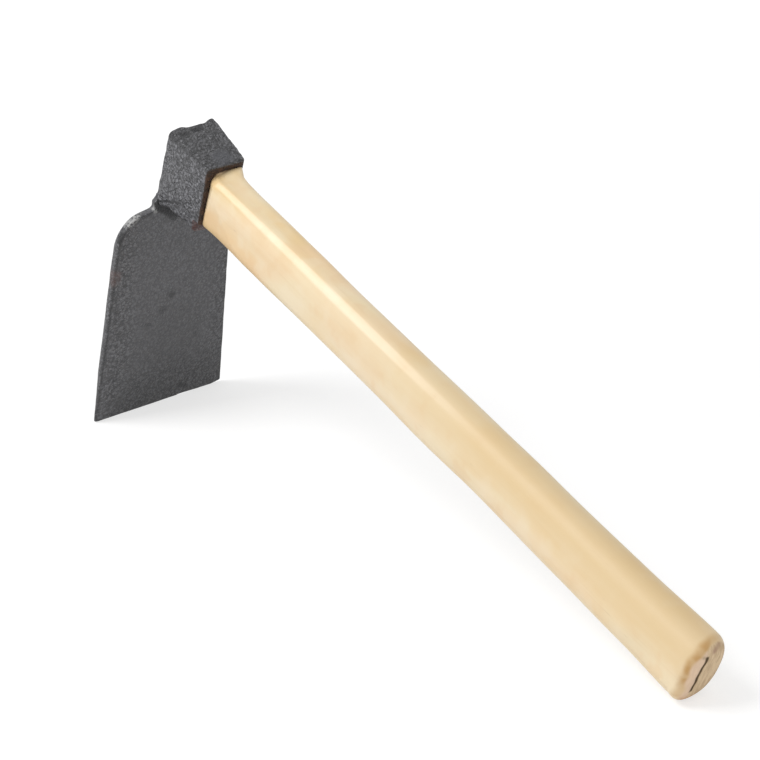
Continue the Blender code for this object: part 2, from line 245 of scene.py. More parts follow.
def dent(points, centre, radii):
    """1 at the centre, falling to nothing over about two radii, which may differ by axis."""
    away = np.linalg.norm((points - np.array(centre)) / np.array(radii), axis=1)
    return np.exp(-(away ** 2))


# Places: the tool's frame and the blade's

def mount(name):
    return next(item for item in frame["record"]["mounts"] if item["name"] == name)


def tool_placing():
    """The tool's frame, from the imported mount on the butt, whose point there is known."""
    butt = mount("handle_butt")
    tilt = math.atan2(-butt["axis"][2], butt["axis"][0])
    turn = Matrix.Rotation(tilt, 4, "Y")
    return Matrix.Translation(Vector(butt["pos_m"]) - turn @ Vector(BUTT_MOUNT)) @ turn


def underside_z(x):
    mouth = EYE_RISE - EYE_HEIGHT / 2 - BOTTOM_WALL_AT_MOUTH
    return mouth + x * math.tan(BLADE_RAKE)


def poll_x(z):
    return -EYE_LENGTH + (z - underside_z(-EYE_LENGTH)) * math.tan(POLL_LEAN)


def blade_placing():
    x = -EYE_LENGTH + BLADE_TOP_THICKNESS * math.cos(BLADE_RAKE)
    corner = Vector((x, 0.0, underside_z(x)))
    return TOOL @ Matrix.Translation(corner) @ Matrix.Rotation(-BLADE_RAKE, 4, "Y")


TOOL = tool_placing()
BLADE = blade_placing()


# Building meshes

def net_faces(row_count, column_count, close_rows=False):
    """Quads over a net of points whose columns close into rings, and its rows too if asked."""
    faces = []
    for row in range(row_count if close_rows else row_count - 1):
        here = row * column_count
        after = (row + 1) % row_count * column_count
        for column in range(column_count):
            beside = (column + 1) % column_count
            faces.append((here + column, here + beside, after + beside, after + column))
    return faces


def loft_points(rings):
    """The points of closed rings, and the faces of a skin over them with both ends shut."""
    points = np.concatenate(rings)
    count = len(rings[0])
    faces = net_faces(len(rings), count)
    faces += [tuple(range(count)), tuple(range(len(points) - count, len(points)))]
    return points, faces


def carried(points, placing):
    """Points of one frame, moved to where its placing puts them."""
    return points @ np.array(placing.to_3x3()).T + np.array(placing.translation)


def point_normals(points, faces):
    corners = np.array([face for face in faces if len(face) == 4])
    first, second, third, fourth = (points[corners[:, i]] for i in range(4))
    across = np.cross(third - first, fourth - second)
    total = np.zeros_like(points)
    for i in range(4):
        np.add.at(total, corners[:, i], across)
    return total / np.maximum(np.linalg.norm(total, axis=1, keepdims=True), 1e-12)


def make_piece(name, points, faces, placing, material=None):
    """An object whose points are given in the tool's frame or the blade's."""
    mesh = bpy.data.meshes.new(name)
    mesh.from_pydata(carried(points, placing).tolist(), [], faces)
    mesh_data = bmesh.new()
    mesh_data.from_mesh(mesh)
    bmesh.ops.recalc_face_normals(mesh_data, faces=mesh_data.faces)
    mesh_data.to_mesh(mesh)
    mesh_data.free()
    mesh.shade_smooth()
    if material:
        mesh.materials.append(material)
    piece = bpy.data.objects.new(name, mesh)
    bpy.context.scene.collection.objects.link(piece)
    return piece


def cut(piece, cutter):
    """Takes the cutter's shape out of the piece for good, and removes the cutter."""
    modifier = piece.modifiers.new("cut", "BOOLEAN")
    modifier.operation = "DIFFERENCE"
    modifier.solver = "EXACT"
    modifier.object = cutter
    graph = bpy.context.evaluated_depsgraph_get()
    mesh = bpy.data.meshes.new_from_object(piece.evaluated_get(graph))
    piece.modifiers.clear()
    piece.data = mesh
    bpy.data.objects.remove(cutter, do_unlink=True)


def arc(centre, radius, start, end, steps):
    turns = np.radians(np.linspace(start, end, steps))
    return np.array(centre) + radius * np.stack((np.cos(turns), np.sin(turns)), 1)


def box_section(half_width, top, bottom, corners, counts=(34, 56, 8)):
    """Points (y, z) round an upright rectangle with round corners, from the far side upwards.

    The corners' radii are for the far top, near top, near bottom and far bottom, or one for all.
    The counts are the points along the top, up a side and round a corner."""
    across_count, upright_count, corner_count = counts
    radii = np.broadcast_to(corners, 4)
    far_top, near_top, near_bottom, far_bottom = radii
    centres = (
        (half_width - far_top, top - far_top),
        (near_top - half_width, top - near_top),
        (near_bottom - half_width, bottom + near_bottom),
        (half_width - far_bottom, bottom + far_bottom),
    )
    arcs = []
    for quarter, (centre, radius) in enumerate(zip(centres, radii)):
        arcs.append(arc(centre, radius, 90 * quarter, 90 * quarter + 90, corner_count))
    points = []
    for quarter in range(4):
        count = (across_count, upright_count)[quarter % 2]
        shares = np.linspace(0, 1, count + 2)[1:-1, None]
        straight = mix(arcs[quarter][-1], arcs[(quarter + 1) % 4][0], shares)
        points += [arcs[quarter], straight]
    return np.concatenate(points)


# The eye

def eye_opening(x, inset=0.0):
    """Half width, top and bottom of the eye's opening at x, drawn in by a clearance."""
    share = -x / EYE_LENGTH
    half_width = EYE_WIDTH / 2 + EYE_SIDE_FLARE * share
    top = EYE_RISE + EYE_HEIGHT / 2 + EYE_TOP_FLARE * share
    bottom = underside_z(x) + mix(BOTTOM_WALL_AT_MOUTH, BOTTOM_WALL_AT_POLL, share)
    return half_width - inset, top - inset, bottom + inset


def eye_outside(x):
    half_width, top, _ = eye_opening(x)
    top += mix(TOP_WALL_AT_MOUTH, TOP_WALL_AT_POLL, -x / EYE_LENGTH)
    return half_width + EYE_SIDE_WALL, top, underside_z(x)


def strayed(points):
    """Moves points of the head from the true box to the hand-made one."""
    half_width, top, bottom = eye_outside(0.0)
    share = np.clip(-points[:, 0] / EYE_LENGTH, 0, 1)[:, None]
    far = np.clip(points[:, 1] / half_width / 2 + 0.5, 0, 1)[:, None]
    high = np.clip((points[:, 2] - bottom) / (top - bottom), 0, 1)[:, None]

    def at(corner):
        return mix(np.array(MOUTH_STRAY[corner]), np.array(POLL_STRAY[corner]), share)

    low_side = mix(at("near_bottom"), at("far_bottom"), far)
    high_side = mix(at("near_top"), at("far_top"), far)
    moved = points.copy()
    moved[:, 1:] += mix(low_side, high_side, high)
    moved[:, 1] += thick_lip(moved)
    return moved


def thick_lip(points):
    """How far the near wall's inner side stands in at the mouth, more so higher up."""
    x, y, z = points.T
    reach = np.clip(0.068 * (z + 0.0045), 0, 0.0015) * ramp(x, -0.0070, -0.0005)
    return reach * ramp(y, -0.0098, -0.0080) * ramp(y, -0.0020, -0.0050)


def eye_corners(x):
    """Radii of the eye's outer corners: the top ones are forged rounder towards the poll."""
    share = -x / EYE_LENGTH
    return mix(0.0015, 0.0030, ramp(share, 0.8, 1.0)), mix(0.0018, 0.0022, share), 0.0020, 0.0024


def wall_path(length, wall, mouth_round, poll_round):
    """(distance from the mouth, depth into the wall) round the wall's section, outside first."""

    def line(start, end, steps):
        shares = np.linspace(0, 1, steps + 2)[1:-1, None]
        return mix(np.array(start), np.array(end), shares)

    poll = length - poll_round
    return np.concatenate((
        line((poll, 0), (mouth_round, 0), 64),
        arc((mouth_round, mouth_round), mouth_round, 270, 180, 5),
        line((0, mouth_round), (0, wall - mouth_round), 5),
        arc((mouth_round, wall - mouth_round), mouth_round, 180, 90, 5),
        line((mouth_round, wall), (poll, wall), 30),
        arc((poll, wall - poll_round), poll_round, 90, 0, 5),
        line((length, wall - poll_round), (length, poll_round), 5),
        arc((poll, poll_round), poll_round, 0, -90, 5),
    ))


def build_eye_socket(material):
    rings = []
    for distance, depth in wall_path(EYE_LENGTH, EYE_MEAN_WALL, MOUTH_ROUNDING, POLL_ROUNDING):
        outer = box_section(*eye_outside(-distance), eye_corners(-distance))
        inner = box_section(*eye_opening(-distance), EYE_CORNER)
        section = mix(outer, inner, depth / EYE_MEAN_WALL)
        x = poll_x(section[:, 1]) * distance / EYE_LENGTH
        rings.append(np.column_stack((x, section)))
    faces = net_faces(len(rings), len(rings[0]), close_rows=True)
    points = strayed(np.concatenate(rings))
    points = shape_socket(points, point_normals(points, faces))
    return make_piece("hammered_eye_socket", points, faces, TOOL, material)


# Dents on top near the poll: centre, radius by axis and depth
POLL_DENTS = (
    ((-0.0292, -0.0062, 0.0270), (0.0014, 0.0030, 0.0030), 0.0010),
    ((-0.0305, 0.0028, 0.0262), (0.0015, 0.0036, 0.0030), 0.0012),
    ((-0.0262, -0.0080, 0.0260), (0.0018, 0.0018, 0.0018), 0.0004),
    ((-0.0275, 0.0015, 0.0262), (0.0020, 0.0026, 0.0026), 0.0005),
)


def shape_socket(points, normals):
    """The dips, dents and lumps that the forging left, mostly along the poll's top edge."""
    x, y, z = points.T
    shaped = points.copy()
    high = ramp(z, 0.019, 0.025)
    at_poll = ramp(x, -0.024, -0.0345)
    shaped[:, 2] += smooth_path(y, POLL_EDGE) * at_poll * high
    near_corner = ramp(y, -0.0085, -0.0135) * ramp(z, 0.0185, 0.0275) * ramp(x, -0.029, -0.037)
    shaped += near_corner[:, None] * np.array((-0.0003, -0.0001, 0.0004))
    low_corner = ramp(y, -0.0060, -0.0120) * ramp(z, 0.004, -0.018) * ramp(x, -0.026, -0.037)
    shaped += low_corner[:, None] * np.array((0.0008, 0.0002, 0.0))
    for centre, radii, depth in POLL_DENTS:
        shaped[:, 2] -= depth * dent(points, centre, radii)
    rough = 0.00040 * lumps(points, 0.0085, 1) + 0.00024 * lumps(points, 0.0030, 2)
    shaped += normals * (rough * ramp(x, 0.0008, -0.0040))[:, None]
    return shaped


# The blade

def blade_half_width(height):
    return BLADE_EDGE_WIDTH / 2 - BLADE_SIDE_TAPER * height


def blade_thickness(height):
    below = mix(BLADE_EDGE_THICKNESS, BLADE_BEVEL_THICKNESS, height / BLADE_BEVEL_HEIGHT)
    share = (height - BLADE_BEVEL_HEIGHT) / (BLADE_LENGTH - BLADE_BEVEL_HEIGHT)
    above = mix(BLADE_BEVEL_THICKNESS, BLADE_TOP_THICKNESS, share)
    return np.where(height < BLADE_BEVEL_HEIGHT, below, above)


def round_corner(before, corner, after, radius, steps=16):
    """Points of the arc that rounds one corner of an outline."""
    back = (before - corner).normalized()
    ahead = (after - corner).normalized()
    half_angle = back.angle(ahead) / 2
    reach = radius / math.tan(half_angle)
    centre = corner + (back + ahead).normalized() * (reach / math.cos(half_angle))
    first = corner + back * reach - centre
    last = corner + ahead * reach - centre
    points = []
    for step in range(steps + 1):
        direction = first.slerp(last, step / steps).normalized()
        points.append(centre + direction * first.length)
    return points


def side_outline(corner_points):
    """(half width, height) up one side of the blade, from its worn bottom corner to the neck."""
    neck = BLADE_NECK_WIDTH / 2
    shoulder = blade_half_width(BLADE_SHOULDER_HEIGHT)
    neck_height = BLADE_SHOULDER_HEIGHT + (shoulder - neck) * BLADE_SHOULDER_SLOPE
    bottom = Vector((BLADE_EDGE_WIDTH / 2, 0.0))
    shoulder_corner = Vector((shoulder, BLADE_SHOULDER_HEIGHT))
    neck_corner = Vector((neck, neck_height))
    top = Vector((neck, BLADE_LENGTH + 0.004))
    points = list(corner_points)
    points += round_corner(bottom, shoulder_corner, neck_corner, BLADE_SHOULDER_RADIUS)
    points += round_corner(shoulder_corner, neck_corner, top, BLADE_NECK_RADIUS)
    points.append(top)
    return np.array([tuple(point) for point in points])


def worn_corners():
    """The near bottom corner is worn round and the far one is worn to a slant."""
    bottom = Vector((BLADE_EDGE_WIDTH / 2, 0.0))
    above = Vector((blade_half_width(0.02), 0.02))
    near = round_corner(Vector((0.0, 0.0)), bottom, above, 0.0018, 8)
    start = Vector((bottom.x - 0.0055, 0.0))
    slant = Vector((bottom.x - 0.0002, 0.0011))
    far = round_corner(Vector((0.0, 0.0)), start, slant, 0.0100, 4)
    far += round_corner(start, slant, above, 0.0010, 4)
    return near, far


def outline_distance(points, outline):
    """How far points (y, height) lie from an outline."""
    nearest = np.full(len(points), 1.0)
    for start, end in zip(outline, outline[1:]):
        along = end - start
        share = np.clip(((points - start) @ along) / (along @ along), 0, 1)[:, None]
        nearest = np.minimum(nearest, np.linalg.norm(points - start - share * along, axis=1))
    return nearest


def rounded_off(distance, width, depth):
    """How far a face falls back near an edge that is rounded over that width."""
    share = np.clip(1 - distance / width, 0, 1)
    return depth * (1 - np.sqrt(1 - share * share))


# The blade's net: how far columns lie from a side, and how many lie between and on the sides
EDGE_COLUMNS = np.array((0, 0.08, 0.2, 0.36, 0.56, 0.8, 1.1, 1.5, 2.0, 2.7, 3.6, 4.8)) / 1000
MIDDLE_COLUMNS = 58
SIDE_COLUMNS = 4

# The mesh attribute that holds how far a point of the blade is from its outline
EDGE_DISTANCE = "edge_distance"


def blade_heights():
    parts = [
        np.array((0, 0.06, 0.15, 0.3, 0.5, 0.75, 1.05, 1.4, 1.8, 2.3, 3.0)) / 1000,
        np.arange(0.0039, 0.1100, 0.0010),
        np.arange(0.1100, 0.1260, 0.0005),
        np.arange(0.1260, BLADE_LENGTH + 0.0006, 0.00018),
    ]
    return np.concatenate(parts)


def blade_columns(near, far):
    """Places across the blade from its near side to its far side, closer together at the sides."""
    inner = np.linspace(near + EDGE_COLUMNS[-1], far - EDGE_COLUMNS[-1], MIDDLE_COLUMNS + 2)
    return np.concatenate((near + EDGE_COLUMNS, inner[1:-1], far - EDGE_COLUMNS[::-1]))


def build_blade(material):
    near_corner, far_corner = worn_corners()
    near_outline = side_outline(near_corner) * (-1, 1)
    far_outline = side_outline(far_corner)
    far_outline[:, 0] += 0.0004 + 0.0005 * ramp(far_outline[:, 1], 0.060, 0.100)
    heights = blade_heights()
    rows = []
    for height in heights:
        near = np.interp(height, near_outline[:, 1], near_outline[:, 0])
        far = np.interp(height, far_outline[:, 1], far_outline[:, 0])
        columns = blade_columns(near, far)
        rows.append(np.column_stack((columns, np.full(len(columns), height))))
    flat = np.concatenate(rows)
    distance = np.minimum(outline_distance(flat, near_outline), outline_distance(flat, far_outline))
    front, back = blade_faces(flat, distance)
    count = len(rows[0])
    rings = []
    for row in range(len(heights)):
        span = slice(row * count, (row + 1) * count)
        face_on = np.column_stack((front[span], flat[span]))
        face_off = np.column_stack((back[span], flat[span]))[::-1]
        rings.append(np.concatenate((face_on, bridge(face_on[-1], face_off[0]),
                                     face_off, bridge(face_off[-1], face_on[0]))))
    points = np.concatenate(rings)
    points[:, 2] += edge_wear(points) - neck_drop(points)
    points[:, 1] += side_wear(points)
    faces = net_faces(len(rings), len(rings[0]))
    last_ring = (len(rings) - 1) * len(rings[0])
    faces += cap_strip(0, count) + cap_strip(last_ring, count)
    points[:, 2] -= BLADE_LENGTH
    blade = make_piece("hammered_blade", points, faces, BLADE, material)
    on_side = np.zeros((len(rings), SIDE_COLUMNS))
    by_row = distance.reshape(len(rings), count)
    by_ring = np.concatenate((by_row, on_side, by_row[:, ::-1], on_side), axis=1)
    values = blade.data.attributes.new(EDGE_DISTANCE, "FLOAT", "POINT").data
    values.foreach_set("value", by_ring.ravel())
    return blade


def bridge(start, end):
    """Points across the blade's thickness, slightly proud in the middle."""
    shares = np.linspace(0, 1, SIDE_COLUMNS + 2)[1:-1, None]
    across = mix(start, end, shares)
    proud = 0.00012 * np.sin(np.pi * shares[:, 0])
    across[:, 1] += math.copysign(1, start[1]) * proud
    return across


def cap_strip(first, count):
    """Closes the blade's first or last ring, whose front and back have as many columns each."""
    back_end = first + 2 * count + SIDE_COLUMNS - 1
    faces = []
    for column in range(count - 1):
        faces.append((first + column, first + column + 1, back_end - column - 1, back_end - column))
    far_side = [first + count - 1 + step for step in range(SIDE_COLUMNS + 2)]
    near_side = [back_end + step for step in range(SIDE_COLUMNS + 1)] + [first]
    return faces + [tuple(far_side), tuple(near_side)]


def blade_faces(flat, distance):
    """The front's and the back's distance out of the blade's flat plane at points (y, height)."""
    y, height = flat.T
    thickness = blade_thickness(height)
    shoulder = ramp(height, 0.106, 0.124)
    solid = np.column_stack((np.zeros(len(y)), flat))
    width = mix(0.0006, 0.0015, shoulder)
    depth = np.minimum(mix(0.0004, 0.0009, shoulder), 0.46 * thickness)
    front = -rounded_off(distance, width, depth)
    front -= 0.00028 * shoulder * np.exp(-(((distance - 0.0019) / 0.0006) ** 2))
    front -= rounded_off(height, 0.0004, 0.0002)
    back = -thickness + rounded_off(distance, width, depth)
    calm = ramp(height, 0.0, 0.012) * ramp(distance, 0.0, 0.004)
    front += 0.00016 * lumps(solid, 0.019, 3) * calm
    front += 0.00005 * lumps(solid, 0.0048, 4) * calm
    back += 0.00022 * lumps(solid, 0.017, 5) * calm
    for centre, radius, deep in BLADE_PITS:
        front -= deep * dent(flat, centre, radius)
    return front, back


def edge_wear(points):
    """How much the cutting edge is worn up, with one shallow nick."""
    y, height = points[:, 1], points[:, 2]
    wavy = 0.00016 * (lumps(np.column_stack((y, y * 0, y * 0)), 0.0075, 6) + 0.4)
    nick = 0.0004 * ramp(y, 0.0128, 0.0142) * ramp(y, 0.0300, 0.0160)
    return (np.maximum(wavy, 0) + nick) * ramp(height, 0.0060, 0.0)


def neck_drop(points):
    """How far the neck's top corners are rounded down beside the eye."""
    y, height = points[:, 1], points[:, 2]
    return NECK_DROP * ramp(np.abs(y), 0.0100, 0.0142) * ramp(height, 0.1330, BLADE_LENGTH)


def side_wear(points):
    """Small waves along the blade's two sides."""
    y, height = points[:, 1], points[:, 2]
    at_side = ramp(np.abs(y), 0.6 * blade_half_width(height), blade_half_width(height))
    where = np.column_stack((height, np.sign(y) * 0.05, height * 0))
    return 0.00022 * lumps(where, 0.0080, 7) * at_side * ramp(height, 0.0, 0.006)


# The welds

def build_front_weld(material):
    """A lumpy bead under the eye, flush with its sides, that runs down onto the blade's front."""
    rings = []
    for x in np.linspace(FRONT_WELD_BACK, FRONT_WELD_FRONT, 96):
        half_width, _, under = eye_outside(x)
        drop = float(smooth_path(x, WELD_DROP)) * mix(1.0, 0.5, ramp(x, -0.0032, FRONT_WELD_FRONT))
        top = under + WELD_OVERLAP
        bottom = under - drop
        low_corner = min(0.0026, 0.48 * (top - bottom))
        proud = mix(0.0004, 0.0001, ramp(x, -0.020, -0.002))
        section = box_section(half_width + proud, top, bottom,
                              (0.0005, 0.0005, low_corner, low_corner), (56, 10, 8))
        rings.append(np.column_stack((np.full(len(section), x), section)))
    points, faces = loft_points(rings)
    placed = strayed(points)
    normals = point_normals(placed, faces)
    rough = 0.00050 * lumps(placed, 0.0050, 9) + 0.00026 * lumps(placed, 0.0021, 10)
    ripple = 0.00012 * np.sin(placed[:, 0] / 0.0013 + 3.0 * lumps(placed, 0.006, 8))
    placed += normals * (rough + ripple)[:, None]
    return make_piece("lumpy_front_weld", placed, faces, TOOL, material)


def build_rear_weld(material):
    """A bead along the corner between the blade's back and the poll, with its ripples."""
    half_width = eye_outside(-EYE_LENGTH)[0] - 0.0004
    turns = np.radians(np.linspace(0, 360, REAR_WELD_POINTS, endpoint=False))
    rings = []
    for y in np.linspace(-half_width, half_width, 120):
        end = max(0.0, (abs(y) - half_width + REAR_WELD_TAPER) / REAR_WELD_TAPER)
        swell = math.sqrt(max(0.02, 1 - end * end))
        pulse = 1 + 0.06 * abs(math.sin(y / REAR_WELD_RIPPLE * math.pi))
        radius = REAR_WELD_RADIUS * swell * pulse
        x = -BLADE_TOP_THICKNESS + REAR_WELD_SINK + radius * 0.85 * np.cos(turns)
        z = -REAR_WELD_SINK + radius * np.sin(turns)
        rings.append(np.column_stack((x, np.full(len(turns), y), z)))
    points, faces = loft_points(rings)
    normals = point_normals(points, faces)
    points += normals * (0.00025 * lumps(points, 0.0030, 12))[:, None]
    placed = strayed(carried(points, TOOL.inverted() @ BLADE))
    return make_piece("lumpy_rear_weld", placed, faces, TOOL, material)


# The handle

OVAL_POINTS = 192


def handle_sizes(x):
    """Half width, top and bottom of the handle's own section at x."""
    share = x / HANDLE_LENGTH
    half_height = mix(HANDLE_HEIGHT_AT_HEAD, HANDLE_HEIGHT_AT_BUTT, share) / 2
    half_width = mix(HANDLE_WIDTH_AT_HEAD, HANDLE_WIDTH_AT_BUTT, share) / 2
    rise = mix(HANDLE_RISE_AT_HEAD, 0.0, share)
    return half_width, rise + half_height, rise - half_height


def squareness(x):
    """The power of the section's oval, with sharper corners where it was fitted to the eye."""
    share = min(1.0, x / (SQUARE_SHARE * HANDLE_LENGTH))
    sharp = 5.0 * math.exp(-x / 0.006)
    return mix(SQUARENESS_AT_HEAD, SQUARENESS_AT_BUTT, share) + sharp


def spread_evenly(outline):
    """Evenly spaced points along a closed outline, whose last point lies on its first."""
    run = np.concatenate(((0.0,), np.cumsum(np.hypot(*np.diff(outline, axis=0).T))))
    places = np.linspace(0, run[-1], OVAL_POINTS, endpoint=False)
    return np.column_stack([np.interp(places, run, line) for line in outline.T])


def squared_oval(half_width, top, bottom, power):
    """Points (y, z) round a superellipse, from the middle of its far side upwards."""
    turns = np.linspace(0, 2 * math.pi, 721)
    waves = np.column_stack((np.cos(turns), np.sin(turns)))
    shape = np.sign(waves) * np.abs(waves) ** (2 / power)
    return spread_evenly(shape * (half_width, (top - bottom) / 2) + (0, (top + bottom) / 2))


def tang_section(x):
    """The tang's section, whose points start in the middle of its far side."""
    upright_count = 61
    outline = box_section(*eye_opening(x, TANG_GAP), TANG_CORNER, (60, upright_count, 12))
    outline = np.roll(outline, (upright_count + 1) // 2, axis=0)
    return spread_evenly(np.concatenate((outline, outline[:1])))


def whittled(ring):
    """Takes a ring of the handle off its even taper, most of all where it meets the eye off centre."""
    x, y, z = ring.T
    half_width, top, bottom = handle_sizes(x[0])
    side = y / half_width
    shaped = ring.copy()
    facet = 0.045 * np.maximum(0, 0.0062 + 1.4 * (0.0083 - z) - x)
    shoulder = np.maximum(0, 0.0018 + 0.038 * (z + 0.015) - 0.50 * x)
    near_in = np.maximum(facet, shoulder)
    far_out = 0.0028 * np.maximum(0, 1 - x / 0.0068)
    shaped[:, 1] += near_in * ramp(-side, 0.2, 0.85) + far_out * ramp(side, 0.2, 0.85)
    tilt = 0.0014 * ramp(x, 0.013, 0.0)
    shaped[:, 2] += tilt * np.clip(side, -1, 1) * ramp(z, 0.0, 0.015)
    corner = side + (2 * z - top - bottom) / (top - bottom)
    outward = smooth_path(x, FAR_TOP_LINE) * ramp(corner, 0.7, 1.5)
    inward = smooth_path(x, NEAR_LOW_LINE) * ramp(-corner, 0.7, 1.5)
    shaped[:, 1:] += (outward + inward)[:, None] * (0.73, 0.68)
    ridge = 0.0006 * ramp(z / half_width - side, 2.15, 2.50) * ramp(x, 0.300, 0.100)
    shaped[:, 1:] += ridge[:, None] * (-0.70, 0.71)
    reach = shaped[:, 1:] @ PLANED_FACING
    planed = PLANED_DEPTH * ramp(x, 0.0, 0.006) * ramp(x, 0.260, 0.090)
    over = PLANED_FLATNESS * np.maximum(0, reach - reach.max() + planed)
    shaped[:, 1:] -= over[:, None] * PLANED_FACING
    return shaped


def low_near_share(section):
    """1 at the low near corner of a ring, where the butt is fuller than its oval."""
    return ramp(section[:, 0], 0.006, -0.007) * ramp(section[:, 1], -0.001, -0.010)


def handle_rings():
    """Rings from the tang's end to the butt's flat end, and how the tang and the body meet."""
    rings = []
    for share in np.linspace(1, 0, 28):
        x = -EYE_LENGTH * share
        section = tang_section(x)
        along = (poll_x(section[:, 1]) + TANG_RECESS) * share
        rings.append(strayed(np.column_stack((along, section))))
    places = np.concatenate((
        np.array((0.0003, 0.0005, 0.0009, 0.0014, 0.0020, 0.0027)),
        np.arange(0.0035, 0.0400, 0.0009),
        np.arange(0.0400, HANDLE_LENGTH - BUTT_ROUNDING - 0.001, 0.0030),
    ))
    for x in places:
        sizes = handle_sizes(x)
        drop = 0.0005 * math.exp(-x / 0.0012)
        sizes = (sizes[0], sizes[1] - drop, sizes[2] + drop)
        section = squared_oval(*sizes, squareness(x))
        fuller = BUTT_FULLNESS * ramp(x, HANDLE_LENGTH - 0.040, HANDLE_LENGTH - 0.008)
        section[:, 0] -= fuller * low_near_share(section)
        rings.append(whittled(np.column_stack((np.full(len(section), x), section))))
    for turn in np.radians(np.linspace(0, 90, 15)):
        x = HANDLE_LENGTH - BUTT_ROUNDING * (1 - math.sin(turn))
        inset = BUTT_ROUNDING * (1 - math.cos(turn))
        half_width, top, bottom = handle_sizes(x)
        section = squared_oval(half_width - inset, top - inset, bottom + inset, squareness(x))
        low_near = low_near_share(section)
        full = low_near * math.sin(2 * turn)
        section[:, 0] -= BUTT_FULLNESS * (low_near * math.cos(turn) + 1.7 * full)
        section[:, 1] -= 0.0002 * full
        rings.append(np.column_stack((x + 0.0003 * full, section)))
    return rings


def end_rings(ring):
    """Rings that shrink towards the middle of an end face."""
    middle = ring.mean(axis=0)
    return [mix(ring, middle, share) for share in np.linspace(0, 0.97, 9)[1:]]


def build_handle(material):
    rings = handle_rings()
    points, faces = loft_points(end_rings(rings[0])[::-1] + rings + end_rings(rings[-1]))
    normals = point_normals(points, faces)
    body = ramp(points[:, 0], 0.0015, 0.020)
    long_waves = lumps(points * (0.35, 1, 1), 0.020, 13)
    small_waves = lumps(points * (0.30, 1, 1), 0.0065, 14)
    cut_end = ramp(points[:, 0], HANDLE_LENGTH - 0.0012, HANDLE_LENGTH)
    rough_end = lumps(points * (1, 1, 0.3), 0.0016, 15)
    swell = (0.00022 * long_waves + 0.00005 * small_waves) * body * (1 - cut_end)
    points += normals * (swell + 0.00006 * rough_end * cut_end)[:, None]
    handle = make_piece("lacquered_handle", points, faces, TOOL, material)
    cut(handle, kerf_cutter())
    cut(handle, steel_slot_cutter())
    cut(handle, check_cutter())
    handle.data.shade_smooth()
    return handle


def wedge_half_thickness(x):
    return mix(WEDGE_THICK_END, WEDGE_THIN_END, (x + EYE_LENGTH) / WEDGE_DEPTH) / 2


def kerf_cutter():
    """The saw cut that the wooden wedge fills."""
    rings = []
    for x in np.linspace(CUTTER_START, -EYE_LENGTH + WEDGE_DEPTH + 0.002, 8):
        half = wedge_half_thickness(x) + TANG_GAP
        corners = ((half, KERF_TOP), (-half, KERF_TOP), (-half, KERF_BOTTOM), (half, KERF_BOTTOM))
        rings.append(np.array([(x, y, z) for y, z in corners]))
    points, faces = loft_points(rings)
    return make_piece("kerf_cutter", strayed(points), faces, TOOL)


def steel_ring(x, clearance=0.0, counts=(10, 3, 3)):
    """A section of the steel wedge, which lies across the wooden one."""
    _, top, bottom = eye_opening(-EYE_LENGTH, TANG_GAP)
    share = (x + EYE_LENGTH) / STEEL_DEPTH
    half_height = mix(STEEL_THICK_END, STEEL_THIN_END, share) / 2 + clearance
    middle = (top + bottom) / 2
    corner = min(0.0003, 0.4 * half_height)
    section = box_section(STEEL_WIDTH / 2 + clearance, middle + half_height,
                          middle - half_height, corner, counts)
    return np.column_stack((np.full(len(section), x), section))


def steel_slot_cutter():
    ends = (CUTTER_START, -EYE_LENGTH + STEEL_DEPTH)
    points, faces = loft_points([steel_ring(x, TANG_GAP) for x in ends])
    return make_piece("steel_slot_cutter", strayed(points), faces, TOOL)


def check_cutter():
    """The drying check in the butt's end grain: a crooked crack that narrows towards its ends."""
    rings = []
    for x, widening in ((HANDLE_LENGTH - CHECK_DEPTH, 0.30), (HANDLE_LENGTH + 0.002, 1.0)):
        near = []
        far = []
        for share in np.linspace(0, 1, 40):
            z = mix(CHECK_BOTTOM, CHECK_TOP, share)
            middle = mix(CHECK_LOW_Y, CHECK_HIGH_Y, share)
            middle += sum(reach * math.sin(turn * share + start) for reach, turn, start in CHECK_BENDS)
            half = widening * (0.00020 + 0.00060 * math.sin(math.pi * share) ** 0.6)
            half *= 1 + 0.30 * noise.noise(Vector((z / 0.0022, 4.3, 1.7)))
            near.append((x, middle - half, z))
            far.append((x, middle + half, z))
        rings.append(np.array(far + near[::-1]))
    points, faces = loft_points(rings)
    return make_piece("check_cutter", points, faces, TOOL)


def build_wooden_wedge(material):
    """Stands the full height of the tang, with its thick end a little crushed at the poll."""
    rings = []
    for share in np.linspace(0, 1, 40):
        x = -EYE_LENGTH + WEDGE_DEPTH * share
        _, top, bottom = eye_opening(x, TANG_GAP)
        half = wedge_half_thickness(x)
        section = box_section(half, top, bottom, min(0.0003, 0.4 * half), (6, 60, 3))
        lean = (poll_x(section[:, 1]) + TANG_RECESS + EYE_LENGTH) * ramp(share, 0.5, 0.0)
        rings.append(np.column_stack((x + lean, section)))
    ends = [mix(rings[0], rings[0] * (1, 0, 1), share) for share in (0.85, 0.45)]
    points, faces = loft_points(ends + rings)
    points = strayed(points)
    crushed = ramp(points[:, 0], -0.036, -0.0385)
    points[:, 0] += 0.00030 * lumps(points * (0, 1, 1), 0.0016, 16) * crushed
    wedge = make_piece("split_wooden_wedge", points, faces, TOOL, material)
    cut(wedge, steel_slot_cutter())
    wedge.data.shade_smooth()
    return wedge


